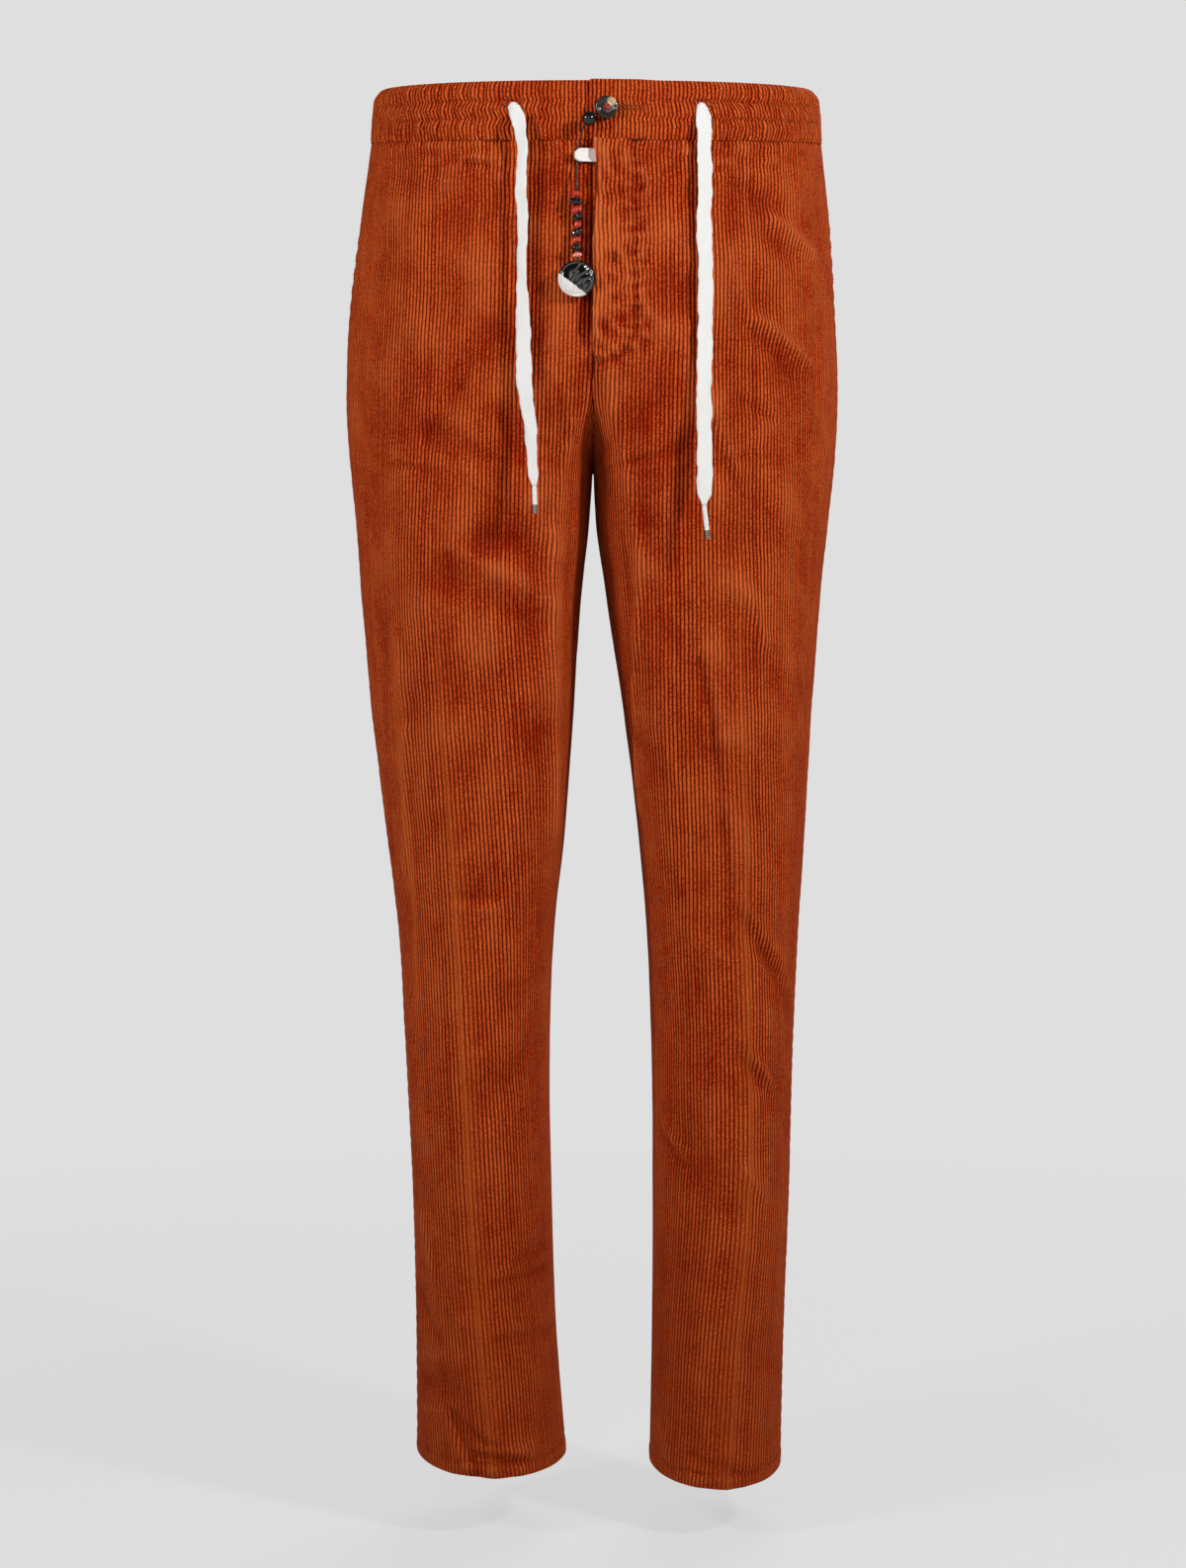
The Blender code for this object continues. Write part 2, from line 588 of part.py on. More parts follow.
def fly_shield():
    """The underlap that the closed fly lies on, sewn to the right front."""
    columns = 3
    heights = np.linspace(BAND_BOTTOM - SEAM, FLY_BOTTOM + 0.006, 9)

    def place(k, z):
        along = SEAM / 2 + SHIELD_WIDTH * k / columns
        point, normal = cloth_point(LEFT, "front", along, z)
        return point, normal, CLOTH

    return cloth_wall("fly_shield", heights, range(columns + 1), place)


# ---------------------------------------------------------------- waistband


def band_lift(side, along):
    """The left band stands on the right band's underlap, and eases down beyond it."""
    if side == RIGHT:
        return 0.0
    return FLY_LAP * (1 - smooth(along, UNDERLAP + 0.002, UNDERLAP + 0.022))


def front_band(side):
    """A front's length of waistband, from its end at the fly to the side seam."""
    columns = 14
    start = -OVERLAP if side == LEFT else -UNDERLAP

    def place(k, z):
        last = arc_at(side, "front", z).length - SEAM / 2
        along = start + (last - start) * k / columns
        off = band_lift(side, along) + band_bulge(z)
        point, normal = cloth_point(side, "front", along, z, off, folded=False)
        return point, normal, BAND_WALL

    name = "waistband_left" if side == LEFT else "waistband_right"
    return cloth_wall(name, BAND_HEIGHTS, range(columns + 1), place)


def back_band():
    """The back's length of waistband, from side seam to side seam in one piece."""
    columns = 24

    def place(k, z):
        share = 2 * k / columns - 1
        side = LEFT if share >= 0 else RIGHT
        along = abs(share) * (arc_at(side, "back", z).length - SEAM / 2)
        point, normal = cloth_point(side, "back", along, z, band_bulge(z), folded=False)
        return point, normal, BAND_WALL

    return cloth_wall("waistband_back", BAND_HEIGHTS, range(columns + 1), place)


def cut_eyelet(target, side):
    """A worked slot in the band where the drawstring comes out."""
    first = DRAWSTRING_STOPS[side][0]
    centre = tape_row(first)
    bpy.ops.mesh.primitive_cube_add(size=1)
    cutter = bpy.context.object
    cutter.name = f"eyelet_cutter_{'left' if side == LEFT else 'right'}"
    cutter.scale = (DRAWSTRING_WIDTH + 0.0016, 0.020, DRAWSTRING_THICKNESS + 0.0020)
    cutter.location = (centre[0], centre[1], centre[2] - 0.0002)
    cutter.hide_render = True
    cutter.display_type = "WIRE"
    cut = target.modifiers.new("eyelet", "BOOLEAN")
    cut.operation = "DIFFERENCE"
    cut.object = cutter


# ---------------------------------------------------------------- tapes, cords and trims


def smooth_route(points, count, crowd=1.0):
    """That many points on a smooth curve through the route's own points.

    Crowd is 1 for even spacing and more to bring them closer together towards the start.
    """
    points = np.asarray(points, float)
    steps = np.linalg.norm(np.diff(points[:, :3], axis=0), axis=1)
    along = np.concatenate([[0], np.cumsum(steps)])
    at = along[-1] * np.linspace(0, 1, count) ** crowd
    return np.array([[eased(along, points[:, k], t) for k in range(points.shape[1])] for t in at])


def stop_point(stop):
    """A stop of a route as a point in space."""
    return (stop.x, front_surface(stop.x, stop.z) - stop.off, stop.z)


def ribbon(name, centres, across, widths, thickness, finish):
    """A flat tape along centres. Across is the direction of its width at each of them."""
    centres = np.asarray(centres, float)
    headings = np.gradient(centres, axis=0)
    points, faces = [], []
    for centre, heading, wide, width in zip(centres, headings, across, widths):
        wide = wide - heading * np.dot(wide, heading) / np.dot(heading, heading)
        wide /= np.linalg.norm(wide)
        thin = np.cross(heading, wide)
        thin /= np.linalg.norm(thin)
        for u, v in ((-1, -1), (1, -1), (1, 1), (-1, 1)):
            points.append(centre + wide * u * width / 2 + thin * v * thickness / 2)
    for k in range(len(centres) - 1):
        for j in range(4):
            a, b = 4 * k + j, 4 * k + (j + 1) % 4
            faces.append((a, b, b + 4, a + 4))
    last = 4 * (len(centres) - 1)
    faces += [(3, 2, 1, 0), (last, last + 1, last + 2, last + 3)]
    return mesh_object(name, points, faces, finish)


def tape_row(stop):
    """A stop of the drawstring: its middle's place, and the angle of its width from across."""
    side = LEFT if stop.x >= 0 else RIGHT
    arc = arc_at(side, "front", stop.z)
    along = float(np.interp(abs(stop.x), np.abs(arc.x), arc.along))
    heading = arc.heading(along) * side
    lean = math.atan2(heading[1], heading[0]) + side * math.radians(stop.turn)
    edge = DRAWSTRING_WIDTH / 2 * abs(math.sin(math.radians(stop.turn)))
    off = LAY + DRAWSTRING_THICKNESS / 2 + edge + stop.lift
    point, _ = cloth_point(side, "front", along, stop.z, band_bulge(stop.z) + off)
    return (*point, lean)


def drawstring(side):
    """A free end of the drawstring: a flat cotton tape, with its tip."""
    word = "left" if side == LEFT else "right"
    stops = DRAWSTRING_STOPS[side]
    route = smooth_route([tape_row(stop) for stop in stops], DRAWSTRING_POINTS, crowd=1.6)
    tail = [route[-2] + (route[-1] - route[-2]) * t for t in (0.4, 0.7, 1.0)]
    route = np.vstack([route[:-1], tail])
    across = [np.array([math.cos(angle), math.sin(angle), 0.0]) for angle in route[:, 3]]
    route = route[:, :3]
    steps = np.linalg.norm(np.diff(route, axis=0), axis=1)
    to_end = np.append(np.cumsum(steps[::-1])[::-1], 0.0)
    narrow = 2 * AGLET_RADIUS
    spread = DRAWSTRING_WIDTH - narrow
    widths = [narrow + spread * smooth(left, 0, DRAWSTRING_TAPER) for left in to_end]
    ribbon(f"drawstring_{word}", route, across, widths, DRAWSTRING_THICKNESS, "tape")
    lean = AGLET_LEAN[side].normalized()
    bpy.ops.mesh.primitive_cylinder_add(vertices=12, radius=AGLET_RADIUS, depth=AGLET_LENGTH[side])
    tip = bpy.context.object
    tip.name = f"aglet_{word}"
    tip.data.materials.append(material("tape"))
    tip.rotation_mode = "QUATERNION"
    tip.rotation_quaternion = (-lean).to_track_quat("Z", "Y")
    tip.location = Vector(route[-1]) + lean * (AGLET_LENGTH[side] / 2 + 0.0008)
    tip.parent = bpy.data.objects[GARMENT]


def charm_cord():
    """The thin cord that hangs from the button's shank, through the tape loop, to the pendant."""
    route = smooth_route([stop_point(s) for s in CHARM_STOPS], CHARM_POINTS)
    curve = bpy.data.curves.new("charm_cord", "CURVE")
    curve.dimensions = "3D"
    line = curve.splines.new("POLY")
    line.points.add(len(route) - 1)
    for point, place in zip(line.points, route):
        point.co = (*place, 1.0)
    curve.bevel_depth = CHARM_CORD / 2
    curve.bevel_resolution = 2
    curve.use_fill_caps = True
    return new_object("charm_cord", curve, "cord")


def turned(name, profile, finish, segments, place=None):
    """A closed turned piece from a profile of (radius, height) from its bottom to its top."""
    points, faces = [], []
    place = place or (lambda r, h, a: (r * math.cos(a), r * math.sin(a), h))
    rings = []
    for radius, height in profile:
        if radius == 0:
            rings.append([len(points)])
            points.append(place(0.0, height, 0.0))
        else:
            rings.append(list(range(len(points), len(points) + segments)))
            angles = np.linspace(0, 2 * math.pi, segments, endpoint=False)
            points += [place(radius, height, a) for a in angles]
    closed = profile[0][0] > 0
    pairs = list(zip(rings, rings[1:])) + ([(rings[-1], rings[0])] if closed else [])
    for low, high in pairs:
        for k in range(segments):
            n = (k + 1) % segments
            if len(low) == 1:
                faces.append((low[0], high[n], high[k]))
            elif len(high) == 1:
                faces.append((low[k], low[n], high[0]))
            else:
                faces.append((low[k], low[n], high[n], high[k]))
    return mesh_object(name, points, faces, finish)


def bead():
    """The round black bead under the button, bored for the cord."""
    bore, steps = 0.0009, 9
    edge = math.asin(bore / BEAD_RADIUS)
    turns = np.linspace(-math.pi / 2 + edge, math.pi / 2 - edge, steps)
    profile = [(BEAD_RADIUS * math.cos(t), BEAD_RADIUS * math.sin(t)) for t in turns]
    made = turned("bead", profile, "onyx", 16)
    before, after = (Vector(stop_point(CHARM_STOPS[k])) for k in (BEAD_STOP - 1, BEAD_STOP + 1))
    made.rotation_mode = "QUATERNION"
    made.rotation_quaternion = (before - after).to_track_quat("Z", "Y")
    made.location = stop_point(CHARM_STOPS[BEAD_STOP])


def route_at(route, z):
    """The point of a falling route at height z."""
    rising = route[::-1]
    return Vector((np.interp(z, rising[:, 2], rising[:, k]) for k in range(3)))


def chip(index, row, route):
    """A tumbled chip of stone, bored for the cord. Its outline is uneven, and repeats each run."""
    bore, sides = 0.0010, 9
    half = row.height / 2
    profile = [(bore, -half * 0.7), (row.width * 0.36, -half), (row.width * 0.5, -half * 0.2),
               (row.width * 0.42, half * 0.8), (bore, half * 0.9)]

    def place(radius, height, angle):
        uneven = 1 + 0.14 * math.sin(2 * angle + 1.7 * index) + 0.10 * math.cos(3 * angle + index)
        if radius > bore:
            radius *= uneven * 0.93
            height += 0.12 * row.height * math.sin(angle + 2.1 * index)
        return (radius * math.cos(angle), 0.86 * radius * math.sin(angle), height)

    made = turned(f"chip_{index + 1}_{row.colour}", profile, row.colour, sides, place)
    top, middle, bottom = (route_at(route, row.z + step) for step in (half, 0.0, -half))
    made.rotation_mode = "QUATERNION"
    made.rotation_quaternion = (top - bottom).to_track_quat("Z", "Y")
    made.location = middle


def pendant():
    """A plain rounded pebble with a socket that the cord is glued into."""
    half, socket, deep = PENDANT_HEIGHT / 2, 0.0010, 0.0030
    steps = 10
    profile = [(0.0, -half)]
    for t in np.linspace(-math.pi / 2, math.pi / 2, steps)[1:-1]:
        profile.append((PENDANT_WIDTH / 2 * math.cos(t) ** 0.9, half * math.sin(t)))
    profile += [(0.0034, half * 0.985), (socket, half), (socket, half - deep), (0.0, half - deep)]

    def place(radius, height, angle):
        share = smooth(radius, socket, PENDANT_WIDTH / 4)
        flat = 1 + (PENDANT_DEPTH / PENDANT_WIDTH - 1) * share
        return (radius * math.cos(angle), radius * flat * math.sin(angle), height)

    made = turned("pendant", profile, "onyx", 20, place)
    y = stop_point(CHARM_STOPS[-1])[1]
    made.location = (PENDANT_X, y, PENDANT_Z)


def tape_loop():
    """A folded loop of narrow tape, held under the fly's edge, that keeps the charm's cord in."""
    width, thickness = 0.0092, 0.00045
    under, fold_x, low, high = 0.0060, -0.0126, 0.00062, 0.00345
    # Across, and how far off the cloth: out along the back layer, round the fold, and back.
    path = [(under, low), (0.0010, low), (-0.0060, low + 0.0001), (-0.0104, low + 0.0001)]
    middle, radius = (low + 0.0001 + high) / 2, (high - low - 0.0001) / 2
    for turn in np.linspace(-60, 60, 5):
        t = math.radians(turn)
        path.append((fold_x + radius - radius * math.cos(t), middle + radius * math.sin(t)))
    path += [(-0.0104, high), (-0.0060, high - 0.0007), (-0.0015, 0.00170), (0.0012, 0.00128),
             (under, 0.00124)]
    z = TAPE_LOOP_Z
    centres = [(x, front_surface(x, z) - off, z) for x, off in path]
    high_y, low_y = (front_surface(0.0, z + step) for step in (width / 2, -width / 2))
    up = [np.array([0.0, high_y - low_y, width])] * len(centres)
    ribbon("tape_loop", centres, up, [width] * len(centres), thickness, "tape")


def button():
    """A four-hole horn button on its thread shank."""
    r, back, front = BUTTON_RADIUS, SHANK_LENGTH, SHANK_LENGTH + BUTTON_THICKNESS
    profile = [
        (0.0, 0.0), (SHANK_RADIUS, 0.0), (SHANK_RADIUS, back), (r - 0.0012, back),
        (r, back + 0.0010), (r, back + 0.0018), (r - 0.0008, front),
        (r - 0.0022, front - 0.0007), (0.0, front - 0.0011),
    ]
    made = turned("button", profile, "horn", 28)
    place = Vector((BUTTON_X, front_surface(BUTTON_X, BUTTON_Z) - FLY_LAP - LAY, BUTTON_Z))
    tilt = Matrix.Rotation(math.radians(90), 4, "X")
    made.matrix_world = Matrix.Translation(place) @ tilt
    for k in range(4):
        angle = math.radians(45 + 90 * k)
        out = Vector((THREAD_HOLE_OUT * math.cos(angle), THREAD_HOLE_OUT * math.sin(angle), front))
        bpy.ops.mesh.primitive_cylinder_add(vertices=8, radius=THREAD_HOLE, depth=3 * BUTTON_THICKNESS)
        hole = bpy.context.object
        hole.name = f"button_hole_{k + 1}"
        hole.matrix_world = made.matrix_world @ Matrix.Translation(out)
        hole.hide_render = True
        hole.display_type = "WIRE"
        cut = made.modifiers.new(f"hole_{k + 1}", "BOOLEAN")
        cut.operation = "DIFFERENCE"
        cut.object = hole


def main():
    """Clears the scene and builds the trousers piece by piece."""
    for existing in list(bpy.data.objects):
        bpy.data.objects.remove(existing)
    garment = bpy.data.objects.new(GARMENT, None)
    bpy.context.scene.collection.objects.link(garment)
    for side in (RIGHT, LEFT):
        front_panel(side)
        back_panel(side)
        pocket_facing(side)
    fly_shield()
    back_band()
    for side in (RIGHT, LEFT):
        cut_eyelet(front_band(side), side)
        drawstring(side)
    button()
    charm_cord()
    bead()
    route = smooth_route([stop_point(s) for s in CHARM_STOPS], CHARM_POINTS)
    for index, row in enumerate(CHIPS):
        chip(index, row, route)
    pendant()
    tape_loop()


main()
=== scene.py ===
"""The looks of corduroy drawstring trousers, filled out as worn, with no wearer inside.

Metres, +Z up, the front towards -Y. Left and right are the wearer's: left is +X. The cloth keeps
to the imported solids' own sections: at each height one half has a front arc, from its inner edge to
the side seam, and a back arc. What is finer than a solid can hold is added here: the wales of the
pile, the stitching and what it draws in, the gathers over the elastic and the smaller folds.
"""

import logging
import math
from dataclasses import dataclass
from enum import Enum
from typing import Any, Callable, Iterable, Sequence

import bmesh
import bpy
import numpy as np
from mathutils import Matrix, Vector


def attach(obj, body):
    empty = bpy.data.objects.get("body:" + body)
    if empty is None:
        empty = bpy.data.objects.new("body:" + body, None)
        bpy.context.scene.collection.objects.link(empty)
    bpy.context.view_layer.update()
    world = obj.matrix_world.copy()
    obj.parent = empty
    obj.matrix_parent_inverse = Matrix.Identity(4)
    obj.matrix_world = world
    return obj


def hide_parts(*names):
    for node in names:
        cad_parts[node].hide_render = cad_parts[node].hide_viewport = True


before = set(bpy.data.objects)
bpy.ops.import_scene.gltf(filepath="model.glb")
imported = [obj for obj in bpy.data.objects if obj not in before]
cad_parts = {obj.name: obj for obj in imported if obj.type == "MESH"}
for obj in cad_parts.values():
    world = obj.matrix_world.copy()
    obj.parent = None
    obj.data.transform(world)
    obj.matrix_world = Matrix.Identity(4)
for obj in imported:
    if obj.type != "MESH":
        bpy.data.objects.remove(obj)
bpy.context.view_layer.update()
LOG = logging.getLogger("trousers")
Array = np.ndarray

# ---------------------------------------------------------------- sizes

CLOTH = 0.0020
BAND_WALL = 0.0030
SEAM = 0.0004
LAY = 0.0004
BAND_TOP = 0.0205
BAND_BOTTOM = -0.0205
BAND_SWELL = 0.0005
TOP_DEPTH = 0.110
BACK_RISE = 0.023
ELASTIC_SQUEEZE = 0.0045
TOP_ROLL = 0.0020
RISE_BOTTOM = -0.160
CROTCH_Z = -0.245
MERGE_BOTTOM = -0.310
MERGE_TOP = -0.110
HIP_SQUARENESS = 0.24
THIGH_SQUARENESS = 1.90
THIGH_ABOVE = (-0.14, -0.26)
THIGH_BELOW = (-0.66, -0.38)
HEM_TURN = 0.010
HEM_DIP = 0.0062
HEM_LAYERS = 1.9
FLY_LAP = 0.0036
FLY_WIDTH = 0.034
FLY_BOTTOM = -0.172
POCKET_LAP = 0.0026
POCKET_TOP_SLANT = 0.030
POCKET_LENGTH = 0.145
POCKET_UNDER = 0.014
POCKET_STITCH_IN = 0.0028
CREASE_REACH = 0.020
SHIELD_WIDTH = 0.016
UNDERLAP = 0.026
OVERLAP = 0.0024

CORNER_DROP = 0.0026  # how much lower the band's top lies at the side seams
CORNER_REACH = 0.022
FOLD_GAIN = 1.3  # the small folds are this much deeper than in their table, so that they show
INNER_CLEAR = 0.0018  # the inner face keeps this far clear of the outer face's creases
RELIEF_LIGHT_FULL_AT = 0.0048  # a ridge this high gets the palest painted highlight, a hollow this deep the darkest painted shade
SHARPNESS = 1.5  # of a fold's crest: 2 is round, 1 a knife edge
SEWN = 0.0003  # a piece runs on this far past its seam, so that no light comes through

WALE = 0.00286  # from one groove of the pile to the next: nine wales to the inch
PILE = 0.00085  # from the floor of a groove to the crown of a wale
COLUMN = 0.0021  # from one column of a cloth mesh to the next
ROW = 0.0044  # from one row to the next
FINE_ROW = 0.0021  # and where it is creased most
BAND_COLUMN = 0.0012  # from one column of the waistband's mesh to the next
BACK_PATTERN = 0.2  # added to distances along the back band, which gathers its own way
EYELET_Z = 0.0047
CRIMP = 0.0013  # from one crimp of the drawstring's steel tip to the next


class Side(Enum):
    """The wearer's right or left half; the value is the sign of x."""

    RIGHT = -1
    LEFT = 1

    @property
    def word(self) -> str:
        """The side's name as the solids' names have it."""
        return self.name.lower()

    @property
    def other(self) -> "Side":
        """The opposite side."""
        return Side(-self.value)


class Face(Enum):
    """The front or the back of the trousers."""

    FRONT = "front"
    BACK = "back"


BEND = {Face.FRONT: 0.075, Face.BACK: 0.120}
HEM_SLOPE = {Side.RIGHT: 0.0035, Side.LEFT: -0.0010}


@dataclass(frozen=True)
class Row:
    """One half's outline at one height.

    Distances out from the centre plane to the outer and inner outline, forward and back from the
    side seam's plane, out to the pressed crease, and how far the crease stands proud.
    """

    z: float
    outer: float
    inner: float
    front: float
    back: float
    crease_x: float
    crease: float


HEM_Z = {Side.RIGHT: -0.9575, Side.LEFT: -0.9675}

# A row for each height: the height, then outer, inner and crease_x of the right half and of the
# left half, then front, back and crease, which both share.
OUTLINE = [
    (0.0205, (0.1568, 0.0, 0.098), (0.1618, 0.0, 0.098), TOP_DEPTH, 0.1050, 0.0),
    (-0.0205, (0.1598, 0.0, 0.098), (0.1645, 0.0, 0.098), 0.1140, 0.1120, 0.0),
    (-0.0720, (0.1676, 0.0, 0.099), (0.1703, 0.0, 0.099), 0.1200, 0.1280, 0.0),
    (-0.1300, (0.1750, 0.0, 0.100), (0.1742, 0.0, 0.100), 0.1240, 0.1410, 0.0),
    (-0.1890, (0.1780, 0.0, 0.102), (0.1766, 0.0, 0.100), 0.1245, 0.1460, 0.0),
    (-0.2450, (0.1748, 0.0006, 0.104), (0.1738, 0.0006, 0.100), 0.1210, 0.1370, 0.0),
    (-0.2770, (0.1716, 0.0027, 0.105), (0.1702, 0.0020, 0.100), 0.1185, 0.1290, 0.0004),
    (-0.3360, (0.1674, 0.0088, 0.106), (0.1646, 0.0100, 0.101), 0.1130, 0.1150, 0.0012),
    (-0.4240, (0.1598, 0.0147, 0.1015), (0.1583, 0.0232, 0.102), 0.1030, 0.1000, 0.0028),
    (-0.5120, (0.1493, 0.0213, 0.0965), (0.1536, 0.0336, 0.1045), 0.0920, 0.0860, 0.0042),
    (-0.5710, (0.1423, 0.0279, 0.0935), (0.1500, 0.0388, 0.1050), 0.0850, 0.0780, 0.0050),
    (-0.6600, (0.1372, 0.0316, 0.0900), (0.1462, 0.0426, 0.1070), 0.0770, 0.0770, 0.0055),
    (-0.7770, (0.1318, 0.0301, 0.0845), (0.1434, 0.0438, 0.1065), 0.0680, 0.0750, 0.0060),
    (-0.8650, (0.1300, 0.0272, 0.0780), (0.1402, 0.0434, 0.1000), 0.0640, 0.0690, 0.0060),
    (HEM_Z, (0.1296, 0.0200, 0.0705), (0.1382, 0.0417, 0.0950), 0.0620, 0.0620, 0.0060),
]
HALVES = {
    side: [
        Row(z[side] if z is HEM_Z else z, own[0], own[1], front, back, own[2], crease)
        for z, right, left, front, back, crease in OUTLINE
        for own in [right if side is Side.RIGHT else left]
    ]
    for side in Side
}


@dataclass(frozen=True)
class Fold:
    """A soft trough (depth below 0) or ridge, from one place on the cloth to another.

    Across is measured on the cloth from the pressed crease, outwards.
    """

    across_a: float
    z_a: float
    across_b: float
    z_b: float
    half_width: float
    depth: float

    def at(self, across: Array, z: float) -> Array:
        """How far the fold moves the cloth out at those places of one height."""
        run = np.array([self.across_b - self.across_a, self.z_b - self.z_a])
        dx, dz = across - self.across_a, z - self.z_a
        t = np.clip((dx * run[0] + dz * run[1]) / run.dot(run), 0, 1)
        away = np.hypot(dx - t * run[0], dz - t * run[1]) / self.half_width
        return self.depth * np.exp(-(away**SHARPNESS))


RIGHT_FRONT = (Side.RIGHT, Face.FRONT)
LEFT_FRONT = (Side.LEFT, Face.FRONT)
RIGHT_BACK = (Side.RIGHT, Face.BACK)
LEFT_BACK = (Side.LEFT, Face.BACK)

# Folds are in millimetres: across and height of one end, across and height of the other, half
# width, depth. These are the folds that the solids have too.
MAIN_FOLDS = {
    RIGHT_FRONT: [
        (-20, -160, 16, -245, 12, -1.6), (-55, -215, -30, -290, 18, -2.2),
        (-60, -650, -12, -690, 14, -1.6), (-62, -820, -20, -835, 12, -1.4), (28, -905, -10, -950, 13, -2),
    ],
    LEFT_FRONT: [
        (20, -150, 45, -215, 14, -1.6), (-55, -200, -34, -300, 18, -2.2), (4, -565, 60, -640, 12, -2),
        (4, -660, 50, -715, 12, -1.8), (-45, -725, -12, -770, 13, -1.6), (4, -860, 35, -885, 12, -1.4),
    ],
    RIGHT_BACK: [
        (-50, -205, 40, -262, 20, -5), (-30, -300, 50, -325, 22, -3), (-45, -545, 40, -575, 18, -4.4),
        (-40, -625, 30, -603, 16, -3.4), (-35, -895, 30, -918, 15, -2.8),
    ],
    LEFT_BACK: [
        (-50, -212, 45, -272, 20, -5), (-40, -310, 35, -330, 20, -3.4), (-45, -550, 40, -590, 18, -4.4),
        (-35, -645, 35, -618, 16, -3.4), (-30, -905, 35, -922, 15, -2.8),
    ],
}

